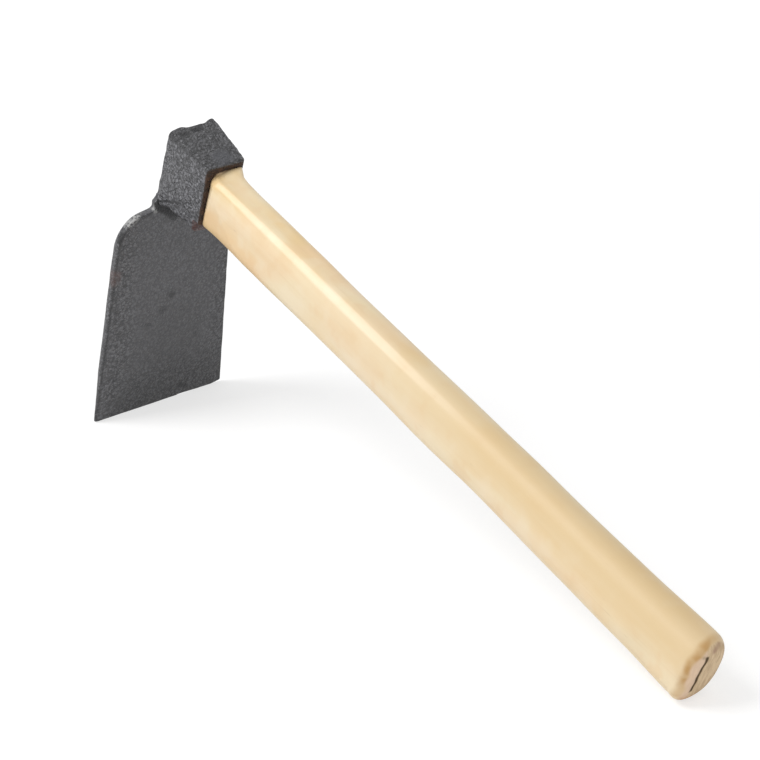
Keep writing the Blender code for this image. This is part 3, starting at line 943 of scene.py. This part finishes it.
def build_steel_wedge(material):
    """Driven across the wooden wedge, with hammer marks on its end."""
    _, top, bottom = eye_opening(-EYE_LENGTH, TANG_GAP)
    start = poll_x((top + bottom) / 2) + TANG_RECESS - 0.0003
    places = np.linspace(start, -EYE_LENGTH + STEEL_DEPTH - TANG_GAP, 30)
    rings = [steel_ring(x, counts=(26, 6, 3)) for x in places]
    middle = rings[0].mean(axis=0)
    ends = [mix(rings[0], middle, share) for share in (0.9, 0.7, 0.45, 0.2, 0.06)]
    points, faces = loft_points(ends + rings)
    struck = ramp(points[:, 0], start + 0.0006, start)
    points[:, 0] += 0.00022 * lumps(points, 0.0022, 17) * struck
    return make_piece("driven_steel_wedge", strayed(points), faces, TOOL, material)


# Materials

class Nodes:
    """Adds nodes to one material and joins them up. Its base is the colour so far."""

    def __init__(self, name):
        self.material = bpy.data.materials.new(name)
        self.material.use_nodes = True
        self.tree = self.material.node_tree
        self.shader = self.tree.nodes["Principled BSDF"]
        self.texture_space = self.add("TexCoord").outputs["Object"]
        self.base = None

    def add(self, kind):
        return self.tree.nodes.new("ShaderNode" + kind)

    def put(self, socket, value):
        """Joins an output to a socket, or sets the socket's own value."""
        if isinstance(value, bpy.types.NodeSocket):
            self.tree.links.new(value, socket)
        else:
            socket.default_value = value

    def fill(self, node, **values):
        """Sets a node's sockets, whose names have a space for each underscore here."""
        for name, value in values.items():
            self.put(node.inputs[name.replace("_", " ")], value)
        return node

    def place(self, placing, scale=(1.0, 1.0, 1.0)):
        """Coordinates in a frame of the tool, stretched by a scale."""
        there = self.add("Mapping")
        there.vector_type = "TEXTURE"
        self.fill(there, Vector=self.texture_space, Location=placing.translation,
                  Rotation=placing.to_euler())
        stretched = self.fill(self.add("Mapping"), Vector=there.outputs["Vector"], Scale=scale)
        return stretched.outputs["Vector"]

    def split(self, vector):
        node = self.fill(self.add("SeparateXYZ"), Vector=vector)
        return node.outputs[0], node.outputs[1], node.outputs[2]

    def maths(self, operation, *values, clamp=False):
        node = self.add("Math")
        node.operation = operation
        node.use_clamp = clamp
        for socket, value in zip(node.inputs, values):
            self.put(socket, value)
        return node.outputs[0]

    def times(self, first, *others):
        """The product of all of them."""
        for other in others:
            first = self.maths("MULTIPLY", first, other)
        return first

    def line(self, value, slope, start):
        return self.maths("MULTIPLY_ADD", value, slope, start)

    def wavering(self, value, wander, reach):
        """The value, moved up to half the reach either way by a noise."""
        return self.line(self.maths("SUBTRACT", wander, 0.5), reach, value)

    def vector_maths(self, operation, first, second):
        node = self.add("VectorMath")
        node.operation = operation
        self.put(node.inputs[0], first)
        self.put(node.inputs[3 if operation == "SCALE" else 1], second)
        return node.outputs["Value" if operation in ("DISTANCE", "DOT_PRODUCT") else "Vector"]

    def noise(self, vector, scale, detail=2.0, roughness=0.5, output="Fac"):
        node = self.add("TexNoise")
        self.fill(node, Vector=vector, Scale=scale, Detail=detail, Roughness=roughness)
        return node.outputs[output]

    def tool_noise(self, scale, detail=2.0, roughness=0.5):
        """Noise in the tool's frame with a scale for each axis, for grain that runs along the handle."""
        return self.noise(self.place(TOOL, scale), 1.0, detail, roughness)

    def cell_edges(self, vector, size):
        """The distance to the nearest edge between cells of about that size, as a share of it."""
        node = self.add("TexVoronoi")
        node.feature = "DISTANCE_TO_EDGE"
        return self.fill(node, Vector=vector, Scale=1 / size).outputs["Distance"]

    def band(self, value, start, end, low=0.0, high=1.0):
        """Low at start, high at end and smooth in between."""
        node = self.add("MapRange")
        node.interpolation_type = "SMOOTHSTEP"
        self.fill(node, Value=value, From_Min=start, From_Max=end, To_Min=low, To_Max=high)
        return node.outputs["Result"]

    def spot(self, place, centre, radius, inner=0.3):
        """1 within a share of the radius round a point, 0 outside it."""
        away = self.vector_maths("DISTANCE", place, centre)
        return self.band(away, radius, radius * inner)

    def stroke(self, place, start, end, radius, inner=0.3):
        """1 within a share of the radius round the line between two points, 0 outside it."""
        run = Vector(end) - Vector(start)
        from_start = self.vector_maths("SUBTRACT", place, start)
        along = self.vector_maths("DOT_PRODUCT", from_start, run)
        share = self.maths("DIVIDE", along, run.length_squared, clamp=True)
        away = self.vector_maths("DISTANCE", from_start, self.vector_maths("SCALE", run, share))
        return self.band(away, radius, radius * inner)

    def blend(self, share, first, second):
        """Mixes two colours, each a triple or an output."""
        node = self.add("Mix")
        node.data_type = "RGBA"
        for name, value in (("Factor", share), ("A", first), ("B", second)):
            self.put(node.inputs[name], (*value, 1.0) if isinstance(value, tuple) else value)
        return node.outputs["Result"]

    def cover(self, colour, *shares):
        """Lays a colour over the base, as much as the product of the shares."""
        self.base = self.blend(self.times(*shares), self.base, colour)

    def dark_marks(self, place, marks, inner):
        for start, end, radius, strength in marks:
            self.cover(SHADE_AND_SPECK_DARK, self.stroke(place, start, end, radius, inner), strength)

    def bump(self, height, distance):
        return self.fill(self.add("Bump"), Height=height, Distance=distance).outputs["Normal"]

    def finish(self, **values):
        """Gives the shader the base and the values of other sockets. Returns the material."""
        self.fill(self.shader, Base_Color=self.base, **values)
        return self.material


# Hammered paint: the dark used for painted shade, a painted dark reflection and dark specks, how light the
# paint is on each piece, and its cells' size and wander
SHADE_AND_SPECK_DARK = (0.020, 0.020, 0.022)
BLADE_LEVEL = 0.089
SOCKET_LEVEL = 0.118
WELD_LEVEL = 0.130
HAMMER_CELL = 0.0023
HAMMER_WANDER = 0.0014


def grey(level):
    """The paint's nearly neutral grey, which is a little blue."""
    return level, level, 1.075 * level


def hammered_paint(nodes, strength, level):
    """Makes the base hammered paint: pale pebbles among dark pits and furrows, their paleness partly the
    paint's own and partly painted highlights for glints off the pebbles. Returns its relief.

    The strength, a number or an output, is how much they stand out from the level."""
    wander = nodes.noise(nodes.texture_space, 430.0, 2.0, 0.6, "Color")
    wander = nodes.vector_maths("SCALE", wander, HAMMER_WANDER)
    edge = nodes.cell_edges(nodes.vector_maths("ADD", nodes.texture_space, wander), HAMMER_CELL)
    patchy = nodes.band(nodes.noise(nodes.texture_space, 330.0), 0.36, 0.58, 0.25, 1.0)
    furrow = nodes.times(nodes.band(edge, 0.20, 0.02), patchy)
    pebble = nodes.band(nodes.noise(nodes.texture_space, 570.0, 1.5), 0.38, 0.62)
    glint = nodes.noise(nodes.texture_space, 800.0, 2.0, 0.7)
    cloud = nodes.noise(nodes.texture_space, 60.0, 3.0, 0.6)
    nodes.base = nodes.blend(pebble, grey(0.50 * level), grey(1.58 * level))
    nodes.cover(grey(0.22 * level), furrow, 0.9)
    # Painted highlights: the palest flecks stand for glints off the pebbles
    nodes.cover(grey(2.6 * level), nodes.band(glint, 0.61, 0.70, 0.0, 0.65))
    nodes.base = nodes.blend(strength, grey(level), nodes.base)
    nodes.cover(grey(0.80 * level), nodes.band(cloud, 0.40, 0.70, 0.0, 0.25))
    relief = nodes.maths("SUBTRACT", nodes.band(edge, 0.0, 0.34), furrow)
    return nodes.times(nodes.line(pebble, 0.6, relief), strength)


# Painted highlights and painted shade on the blade, in its own frame: start, end, radius and strength
BRIGHT_MARKS = (
    ((-0.0025, -0.0308, -0.0128), (-0.0025, -0.0265, -0.0092), 0.0038, 1.0),
    ((-0.0010, -0.0153, -0.0045), (-0.0010, -0.0145, -0.0080), 0.0022, 0.9),
    ((-0.0030, -0.0228, -0.0074), (-0.0030, -0.0190, -0.0058), 0.0024, 0.45),
)
# The dark marks: painted shade in the groove under the front weld, in the pits and beside the shoulder's
# bright patch
DARK_MARKS = (
    ((0.0, -0.0162, -0.0018), (0.0, -0.0012, -0.0152), 0.0036, 1.0),
    ((0.0, 0.0010, -0.0680), (0.0, 0.0026, -0.0692), 0.0032, 0.60),
    ((0.0, -0.0040, -0.0785), (0.0, -0.0024, -0.0772), 0.0034, 0.60),
    ((0.0, -0.0140, -0.0850), (0.0, -0.0118, -0.0858), 0.0020, 0.65),
    ((0.0, 0.0146, -0.1383), (0.0, 0.0156, -0.1386), 0.0026, 0.95),
    ((0.0, 0.0182, -0.1402), (0.0, 0.0190, -0.1400), 0.0024, 0.95),
    ((0.0, 0.0222, -0.1018), (0.0, 0.0225, -0.1036), 0.0017, 0.50),
    ((-0.0006, -0.0370, -0.0218), (-0.0006, -0.0354, -0.0185), 0.0028, 0.95),
)

# Colours of the blade's painted highlights, its worn, dark and stained places, and the painted shadow under
# the weld's toe
HIGHLIGHT_GREY = (0.36, 0.36, 0.355)
WORN_PAINT = (0.130, 0.129, 0.133)
LOW_PAINT = (0.030, 0.030, 0.031)
MIDDLE_PAINT = (0.040, 0.040, 0.041)
TOE_SHADOW = (0.009, 0.009, 0.010)
BLADE_STAIN = (0.120, 0.060, 0.052)


def blade_paint():
    nodes = Nodes("hammered_blade_paint")
    place = nodes.place(BLADE)
    x, y, z = nodes.split(place)
    sideways = nodes.maths("ABSOLUTE", y)
    edge_node = nodes.add("Attribute")
    edge_node.attribute_name = EDGE_DISTANCE
    edge = edge_node.outputs["Fac"]
    wear = nodes.noise(place, 160.0, 4.0, 0.6)
    speckle = nodes.noise(nodes.texture_space, 480.0, 3.0, 0.65)
    on_front = nodes.band(x, -0.0022, -0.0014)
    low = nodes.band(z, 0.045 - BLADE_LENGTH, 0.004 - BLADE_LENGTH)
    near = nodes.band(y, -0.014, -0.038)
    far = nodes.band(y, 0.026, 0.040, 0.0, 0.6)
    rough_side = nodes.maths("MAXIMUM", nodes.maths("MAXIMUM", low, near), far)
    relief = hammered_paint(nodes, nodes.band(rough_side, 0.0, 1.0, 0.50, 1.0), BLADE_LEVEL)
    nodes.cover(LOW_PAINT, low, nodes.band(y, -0.042, -0.024, 0.05, 0.42))
    nodes.cover(MIDDLE_PAINT, nodes.spot(place, (0.0, 0.0080, 0.040 - BLADE_LENGTH), 0.050, 0.1), 0.28)
    nodes.cover(WORN_PAINT, near, nodes.band(wear, 0.35, 0.75, 0.0, 0.30))
    # A painted dark reflection along the front's rounded edges, most on the near side
    nodes.cover(SHADE_AND_SPECK_DARK, nodes.band(edge, 0.0002, 0.0008), nodes.band(edge, 0.0023, 0.0013),
                nodes.band(wear, 0.30, 0.60, 0.25, 0.85), on_front, nodes.band(y, 0.0, -0.020, 0.3, 1.0))
    # Painted contact shadow on the blade's front below the front weld's toe, where the specular level is
    # lower too
    ragged = nodes.line(wear, 0.0050, nodes.line(sideways, -0.6, z))
    toe_shadow = nodes.times(nodes.band(sideways, 0.0158, 0.0130), on_front, nodes.band(ragged, -0.0150, -0.0115))
    nodes.cover(TOE_SHADOW, toe_shadow)
    nodes.cover(BLADE_STAIN, nodes.spot(place, (0.0, -0.0395, -0.046), 0.0075),
                nodes.band(wear, 0.30, 0.65, 0.1, 0.6))
    # Painted highlights on the shoulder and the neck, speckled with dark
    for start, end, radius, strength in BRIGHT_MARKS:
        highlight_patch = nodes.times(nodes.stroke(place, start, end, radius, 0.45), strength)
        nodes.cover(HIGHLIGHT_GREY, highlight_patch, nodes.band(speckle, 0.38, 0.54))
        nodes.cover(SHADE_AND_SPECK_DARK, highlight_patch, nodes.band(speckle, 0.39, 0.32, 0.0, 0.7))
    # Painted shade in the groove under the weld and in the pits
    nodes.dark_marks(place, DARK_MARKS, 0.35)
    return nodes.finish(Roughness=nodes.band(wear, 0.2, 0.8, 0.36, 0.48),
                        Specular_IOR_Level=nodes.band(toe_shadow, 0.0, 1.0, 0.5, 0.3),
                        Normal=nodes.bump(relief, 0.00016))


def near_crease_shade(nodes, place):
    """1 in the crease between the eye's near side and the weld under it, where shade is painted dark."""
    x, y, z = nodes.split(place)
    wear = nodes.noise(place, 260.0, 4.0, 0.6)
    climb = nodes.line(wear, 0.0030, nodes.line(x, 0.55, -0.0031))
    away = nodes.maths("ABSOLUTE", nodes.maths("SUBTRACT", z, climb))
    return nodes.times(nodes.band(away, 0.0012, 0.0005), nodes.band(x, -0.0155, -0.0190, 0.0, 0.95),
                       nodes.band(y, -0.0080, -0.0105))


# Painted shade in and beside the dents along the poll's top edge, in the tool's frame: start, end, radius
# and strength
POLL_MARKS = (
    ((-0.0296, -0.0085, 0.0262), (-0.0280, -0.0038, 0.0262), 0.0026, 0.85),
    ((-0.0310, -0.0004, 0.0256), (-0.0304, 0.0058, 0.0258), 0.0026, 0.90),
    ((-0.0350, -0.0116, 0.0250), (-0.0296, -0.0122, 0.0245), 0.0026, 0.70),
    ((-0.0300, -0.0105, 0.0268), (-0.0262, -0.0075, 0.0265), 0.0014, 0.60),
    ((-0.0345, -0.0060, 0.0262), (-0.0335, 0.0020, 0.0255), 0.0013, 0.50),
)

# Colours of the eye's smooth spot and rusty mouth, and of the welds
SMOOTH_PAINT = (0.050, 0.053, 0.064)
RUST_DARK = (0.016, 0.009, 0.006)
RUST_LIGHT = (0.062, 0.029, 0.015)
WELD_PITS = (0.034, 0.034, 0.036)
WELD_RUST = (0.060, 0.022, 0.018)


def socket_paint():
    nodes = Nodes("hammered_socket_paint")
    place = nodes.place(TOOL)
    x, y, z = nodes.split(place)
    wear = nodes.noise(place, 260.0, 4.0, 0.6)
    smooth_spot = nodes.spot(place, (-0.0050, 0.0020, 0.0235), 0.0090)
    relief = hammered_paint(nodes, nodes.band(smooth_spot, 0.0, 1.0, 1.0, 0.55), SOCKET_LEVEL)
    # Painted shade: the top of the eye is darker than its sides
    nodes.base = nodes.vector_maths("SCALE", nodes.base, nodes.band(z, 0.0195, 0.0225, 1.0, 0.58))
    # Painted shade in the poll's dents
    nodes.dark_marks(place, POLL_MARKS, 0.3)
    nodes.cover(SMOOTH_PAINT, smooth_spot, 0.40)
    # Painted shade in the crease under the eye's near side
    nodes.cover(SHADE_AND_SPECK_DARK, near_crease_shade(nodes, place))
    mouth = nodes.times(nodes.band(nodes.wavering(x, wear, 0.0012), -0.0011, -0.0004),
                        nodes.band(nodes.line(y, -0.02, z), 0.0223, 0.0212))
    inside = nodes.times(nodes.band(nodes.maths("ABSOLUTE", y), 0.0108, 0.0094),
                         nodes.band(z, 0.0215, 0.0195), nodes.band(x, -0.006, -0.002))
    rusty = nodes.maths("MAXIMUM", mouth, inside)
    nodes.cover(nodes.blend(nodes.band(wear, 0.3, 0.7), RUST_DARK, RUST_LIGHT), rusty)
    rough = nodes.maths("MAXIMUM", nodes.band(wear, 0.2, 0.8, 0.34, 0.46), nodes.times(rusty, 0.7))
    return nodes.finish(Roughness=rough, Normal=nodes.bump(relief, 0.00026))


def weld_paint():
    nodes = Nodes("lumpy_weld_paint")
    place = nodes.place(TOOL)
    x, _, _ = nodes.split(place)
    wear = nodes.noise(place, 420.0, 4.0, 0.65)
    _, _, facing_up = nodes.split(nodes.add("NewGeometry").outputs["Normal"])
    relief = hammered_paint(nodes, 1.0, WELD_LEVEL)
    nodes.cover(WELD_PITS, nodes.band(wear, 0.45, 0.75, 0.0, 0.4))
    # Painted shade in the crease between the eye and the weld
    nodes.cover(SHADE_AND_SPECK_DARK, near_crease_shade(nodes, place))
    # Painted shade on the weld's downward-facing sides, more towards the poll
    nodes.cover(SHADE_AND_SPECK_DARK, nodes.band(facing_up, 0.05, -0.45), nodes.band(x, -0.0080, -0.0180, 0.35, 0.9))
    nodes.cover(WELD_RUST, nodes.band(x, -0.0054, -0.0040), nodes.band(wear, 0.3, 0.6, 0.6, 1.0))
    return nodes.finish(Roughness=nodes.band(wear, 0.2, 0.8, 0.36, 0.5),
                        Normal=nodes.bump(relief, 0.00022))


# Colours of the handle's body, butt and tang, with painted light on its far side and painted shade on its
# top, and of the painted shade, partly pooled lacquer, where it enters the eye
HONEY = (0.805, 0.590, 0.305)
CREAM = (0.850, 0.708, 0.465)
BLUSH = (0.850, 0.620, 0.385)
FIGURE = (0.765, 0.530, 0.265)
PALE_NEAR = (0.852, 0.712, 0.500)
WARM_HEAD = (0.812, 0.565, 0.305)
LIGHT_BLOTCH = (0.870, 0.735, 0.530)
DARK_BLOTCH = (0.790, 0.560, 0.310)
FAR_PAINTED_LIGHT = (0.890, 0.755, 0.540)
HAIR = (0.560, 0.370, 0.190)
FLECK = (0.330, 0.200, 0.110)
DULL = (0.640, 0.520, 0.330)
TOP_PAINTED_SHADE = (0.700, 0.520, 0.285)
AMBER = (0.535, 0.310, 0.110)
END_DARK = (0.550, 0.395, 0.235)
END_LIGHT = (0.740, 0.565, 0.360)
END_PINK = (0.780, 0.575, 0.420)
END_BURNT = (0.560, 0.330, 0.170)
CHECK_EDGE = (0.110, 0.070, 0.030)
TANG_DARK = (0.330, 0.215, 0.115)
TANG_LIGHT = (0.560, 0.400, 0.235)
RIM_SHADE_AND_LACQUER = (0.260, 0.160, 0.090)

# Marks on the butt's end: start, end, radius and colour
BUTT_MARKS = (
    ((HANDLE_LENGTH - 0.0012, 0.0002, 0.0140), (HANDLE_LENGTH - 0.0040, 0.0056, 0.0160),
     0.0023, (0.350, 0.200, 0.140)),
    ((HANDLE_LENGTH - 0.0002, -0.0082, 0.0150), (HANDLE_LENGTH, -0.0060, 0.0130),
     0.0018, (0.220, 0.155, 0.070)),
)


def wood_body(nodes, place):
    """Makes the base pale wood with soft clouds and faint grain, painted light on its far side and painted
    shade on its top towards the butt. Returns two of its noises.
    """
    x, y, z = nodes.split(place)
    broad = nodes.tool_noise((16.0, 45.0, 45.0), 2.5)
    figure = nodes.tool_noise((7.0, 95.0, 95.0), 5.0, 0.55)
    hair = nodes.tool_noise((26.0, 900.0, 900.0), 3.0, 0.6)
    blush = nodes.tool_noise((22.0, 40.0, 40.0))
    blotch = nodes.tool_noise((75.0, 60.0, 60.0))
    flecks = nodes.tool_noise((120.0, 1500.0, 1500.0), 1.0)
    warm = nodes.stroke(place, (0.0, -0.0100, -0.0090), (0.045, -0.0100, -0.0110), 0.0150)
    nodes.base = nodes.blend(nodes.band(broad, 0.40, 0.60), HONEY, CREAM)
    nodes.cover(BLUSH, nodes.band(blush, 0.48, 0.66, 0.0, 0.55))
    nodes.cover(FIGURE, nodes.band(figure, 0.42, 0.72, 0.0, 0.40))
    nodes.cover(PALE_NEAR, nodes.band(x, 0.040, 0.130), nodes.band(x, 0.330, 0.240, 0.85, 1.0),
                nodes.band(figure, 0.30, 0.60, 0.75, 0.40), nodes.band(y, 0.002, -0.009))
    nodes.cover(WARM_HEAD, warm, nodes.band(blush, 0.30, 0.65, 0.60, 0.85))
    nodes.cover(LIGHT_BLOTCH, nodes.band(blotch, 0.52, 0.68, 0.0, 0.35))
    nodes.cover(DARK_BLOTCH, nodes.band(blotch, 0.46, 0.32, 0.0, 0.35))
    # Painted light: the far side of the handle is paler
    nodes.cover(FAR_PAINTED_LIGHT, nodes.band(y, 0.002, 0.012, 0.0, 0.9), nodes.band(x, 0.080, 0.200))
    nodes.cover(HAIR, nodes.band(hair, 0.55, 0.80, 0.0, 0.16))
    nodes.cover(FLECK, nodes.band(flecks, 0.76, 0.84, 0.0, 0.4))
    nodes.cover(DULL, nodes.spot(place, (HANDLE_LENGTH - 0.030, -0.0130, -0.0040), 0.016, 0.1), 0.15)
    # Painted shade: the top of the handle is darker towards the butt
    nodes.cover(TOP_PAINTED_SHADE, nodes.band(z, -0.002, 0.014), nodes.band(x, 0.060, 0.260, 0.0, 0.75),
                nodes.band(y, 0.008, 0.0))
    return figure, hair


def check_distance(nodes, y, z):
    """How far a point is from the drying check's middle, and the share of its length there."""
    share = nodes.maths("DIVIDE", nodes.maths("SUBTRACT", z, CHECK_BOTTOM), CHECK_TOP - CHECK_BOTTOM)
    middle = nodes.line(share, CHECK_HIGH_Y - CHECK_LOW_Y, CHECK_LOW_Y)
    for reach, turn, start in CHECK_BENDS:
        middle = nodes.line(nodes.maths("SINE", nodes.line(share, turn, start)), reach, middle)
    return nodes.maths("SUBTRACT", y, middle), share


def butt_colours(nodes, place):
    """Adds the amber rim, the end grain and the drying check with painted shade along it. Returns the
    bareness and the grain.
    """
    x, y, z = nodes.split(place)
    wander = nodes.tool_noise((90.0, 130.0, 130.0), 0.5)
    patches = nodes.tool_noise((100.0, 170.0, 170.0), 1.0)
    grain = nodes.tool_noise((300.0, 520.0, 110.0), 4.0, 0.6)
    near = nodes.band(y, 0.002, -0.012)
    rim_x = nodes.wavering(nodes.line(near, -0.0026, x), wander, 0.0036)
    end_x = nodes.wavering(nodes.line(near, -0.0012, x), wander, 0.0030)
    nodes.cover(AMBER, nodes.band(rim_x, HANDLE_LENGTH - 0.0084, HANDLE_LENGTH - 0.0052),
                nodes.band(rim_x, HANDLE_LENGTH - 0.0022, HANDLE_LENGTH - 0.0042, 0.25, 1.0),
                nodes.band(y, 0.006, -0.006, 0.25, 1.0), nodes.band(z, -0.014, 0.002, 0.3, 1.0),
                nodes.band(patches, 0.36, 0.56, 0.65, 1.0))
    body = nodes.base
    away, share = check_distance(nodes, y, z)
    nodes.base = nodes.blend(nodes.band(grain, 0.35, 0.65), END_DARK, END_LIGHT)
    nodes.cover(END_PINK, nodes.band(away, 0.0006, -0.0010, 0.0, 0.75))
    for start, end, radius, colour in BUTT_MARKS:
        nodes.cover(colour, nodes.stroke(place, start, end, radius, 0.2), 0.7)
    nodes.cover(END_BURNT, nodes.band(nodes.line(y, 0.3, z), -0.0115, -0.0165, 0.0, 0.6))
    butt_end = nodes.band(end_x, HANDLE_LENGTH - 0.0034, HANDLE_LENGTH - 0.0018)
    nodes.base = nodes.blend(butt_end, body, nodes.base)
    off_middle = nodes.maths("ABSOLUTE", nodes.maths("SUBTRACT", share, 0.5))
    # Painted shade along the drying check, wider than the crack itself
    nodes.cover(CHECK_EDGE, nodes.band(nodes.maths("ABSOLUTE", away), 0.00145, 0.00055),
                nodes.band(off_middle, 0.51, 0.46),
                nodes.band(x, HANDLE_LENGTH - 0.012, HANDLE_LENGTH - 0.009))
    return butt_end, grain


def handle_wood():
    nodes = Nodes("lacquered_wood")
    place = nodes.place(TOOL)
    x, _, _ = nodes.split(place)
    figure, hair = wood_body(nodes, place)
    butt_end, grain = butt_colours(nodes, place)
    tang = nodes.band(x, 0.0003, -0.0008)
    nodes.cover(nodes.blend(nodes.band(grain, 0.35, 0.65), TANG_DARK, TANG_LIGHT), tang)
    # Painted shade, partly pooled lacquer, where the handle enters the eye
    rim_shade_x = nodes.wavering(x, nodes.noise(place, 260.0, 3.0, 0.6), 0.002)
    nodes.cover(RIM_SHADE_AND_LACQUER, nodes.band(rim_shade_x, 0.0014, 0.0), 0.55)
    bare = nodes.maths("MAXIMUM", butt_end, tang)
    rough = nodes.wavering(nodes.band(x, 0.120, 0.240, 0.40, 0.48), figure, 0.08)
    relief = nodes.line(nodes.times(grain, bare), 4.0, hair)
    return nodes.finish(Roughness=nodes.line(bare, 0.30, rough),
                        Specular_IOR_Level=nodes.band(x, 0.120, 0.240, 0.68, 0.50),
                        Normal=nodes.bump(relief, 0.00002))


def wedge_wood():
    nodes = Nodes("dry_wedge_wood")
    grain = nodes.tool_noise((40.0, 1500.0, 300.0), 4.0, 0.6)
    nodes.base = nodes.blend(nodes.band(grain, 0.3, 0.7), (0.400, 0.260, 0.135), (0.660, 0.490, 0.300))
    return nodes.finish(Roughness=nodes.band(grain, 0.2, 0.8, 0.65, 0.85),
                        Normal=nodes.bump(grain, 0.00015))


def wedge_steel():
    nodes = Nodes("dull_wedge_steel")
    wear = nodes.noise(nodes.texture_space, 900.0, 4.0, 0.65)
    nodes.base = nodes.blend(nodes.band(wear, 0.45, 0.70), (0.330, 0.320, 0.310), (0.170, 0.105, 0.070))
    return nodes.finish(Roughness=nodes.band(wear, 0.3, 0.7, 0.38, 0.62),
                        Metallic=nodes.band(wear, 0.45, 0.70, 0.95, 0.35), Normal=nodes.bump(wear, 0.00010))


# Stage: floor, light and camera

# Light from the world, and the floor's colour where it lights and where it is seen
WHITE = (1.0, 1.0, 1.0, 1.0)
WORLD_LIGHT = 0.51
FLOOR_SIZE = 6.0
FLOOR_COLOUR = (0.88, 0.88, 0.88)
FLOOR_SEEN_COLOUR = (0.50, 0.50, 0.50)
FLOOR_GLOW = 0.60
LAMP_TARGET = Vector((0.0, 0.0, 0.08))
LAMP_DISTANCE = 2.0

# Lamps: name, direction from their target, size and power
LAMPS = (
    ("key", (-0.30, -0.52, 0.80), 0.9, 20.2),
    ("fill", (0.75, -0.60, 0.30), 1.6, 9.3),
)

# The photograph's view, fitted to the tool's outline
CAMERA_AZIMUTH = math.radians(50.8636)
CAMERA_ELEVATION = math.radians(23.9981)
CAMERA_ROLL = math.radians(-1.2603)
CAMERA_DISTANCE = 1.0215
CAMERA_TARGET = Vector((-0.008095, 0.0, 0.084164))
CAMERA_LENS = 94.74
SENSOR_WIDTH = 36.0


def seen_share(tree):
    """1 for the rays that show a surface, straight or in a reflection, and 0 for those that light."""
    path = tree.nodes.new("ShaderNodeLightPath")
    total = path.outputs["Is Camera Ray"]
    for name in ("Is Glossy Ray", "Is Transmission Ray"):
        node = tree.nodes.new("ShaderNodeMath")
        node.operation = "MAXIMUM"
        tree.links.new(total, node.inputs[0])
        tree.links.new(path.outputs[name], node.inputs[1])
        total = node.outputs[0]
    return total


def make_world():
    world = bpy.data.worlds.new("pale_studio")
    bpy.context.scene.world = world
    world.use_nodes = True
    tree = world.node_tree
    background = tree.nodes["Background"]
    background.inputs["Color"].default_value = WHITE
    strength = tree.nodes.new("ShaderNodeMapRange")
    strength.inputs["To Min"].default_value = WORLD_LIGHT
    tree.links.new(seen_share(tree), strength.inputs["Value"])
    tree.links.new(strength.outputs["Result"], background.inputs["Strength"])


def make_floor():
    """A pale floor that is seen white but keeps the shadow, and whiter still far from the tool."""
    mesh_data = bmesh.new()
    bmesh.ops.create_grid(mesh_data, x_segments=1, y_segments=1, size=FLOOR_SIZE)
    mesh = bpy.data.meshes.new("floor")
    mesh_data.to_mesh(mesh)
    mesh_data.free()
    nodes = Nodes("pale_floor")
    seen = seen_share(nodes.tree)
    nodes.base = nodes.blend(seen, FLOOR_COLOUR, FLOOR_SEEN_COLOUR)
    from_middle = nodes.vector_maths("DISTANCE", nodes.texture_space, (0.0, 0.0, 0.0))
    glow = nodes.times(seen, nodes.band(from_middle, 0.5, 1.2, FLOOR_GLOW, 1.0))
    mesh.materials.append(nodes.finish(Roughness=0.9, Specular_IOR_Level=0.0,
                                       Emission_Color=WHITE, Emission_Strength=glow))
    floor = bpy.data.objects.new("floor", mesh)
    bpy.context.scene.collection.objects.link(floor)


def make_lamp(name, towards, size, power):
    lamp = bpy.data.lights.new(name, "AREA")
    lamp.shape = "SQUARE"
    lamp.size = size
    lamp.energy = power
    holder = bpy.data.objects.new(name, lamp)
    bpy.context.scene.collection.objects.link(holder)
    direction = Vector(towards).normalized()
    holder.location = LAMP_TARGET + direction * LAMP_DISTANCE
    holder.rotation_euler = direction.to_track_quat("Z", "Y").to_euler()


def make_camera():
    level = math.cos(CAMERA_ELEVATION)
    back = Vector((math.sin(CAMERA_AZIMUTH) * level, -math.cos(CAMERA_AZIMUTH) * level,
                   math.sin(CAMERA_ELEVATION)))
    right = Vector((0.0, 0.0, 1.0)).cross(back).normalized()
    up = back.cross(right)
    turned_right = right * math.cos(CAMERA_ROLL) + up * math.sin(CAMERA_ROLL)
    turned_up = up * math.cos(CAMERA_ROLL) - right * math.sin(CAMERA_ROLL)
    camera = bpy.data.objects.new("camera", bpy.data.cameras.new("camera"))
    bpy.context.scene.collection.objects.link(camera)
    turn = Matrix((turned_right, turned_up, back)).transposed()
    camera.matrix_world = Matrix.Translation(CAMERA_TARGET + back * CAMERA_DISTANCE) @ turn.to_4x4()
    camera.data.sensor_width = SENSOR_WIDTH
    camera.data.lens = CAMERA_LENS
    camera.data.clip_end = 50.0
    bpy.context.scene.camera = camera


def set_stage():
    bpy.context.scene.view_settings.view_transform = "Standard"
    make_world()
    make_floor()
    for lamp in LAMPS:
        make_lamp(*lamp)
    make_camera()


def add_piece(piece, node):
    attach(piece, "root")
    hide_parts(node)


def main():
    set_stage()
    weld = weld_paint()
    add_piece(build_blade(blade_paint()), "blade")
    add_piece(build_eye_socket(socket_paint()), "eye_socket")
    add_piece(build_front_weld(weld), "front_weld")
    add_piece(build_rear_weld(weld), "rear_weld")
    add_piece(build_handle(handle_wood()), "handle")
    add_piece(build_wooden_wedge(wedge_wood()), "wooden_wedge")
    add_piece(build_steel_wedge(wedge_steel()), "steel_wedge")


main()
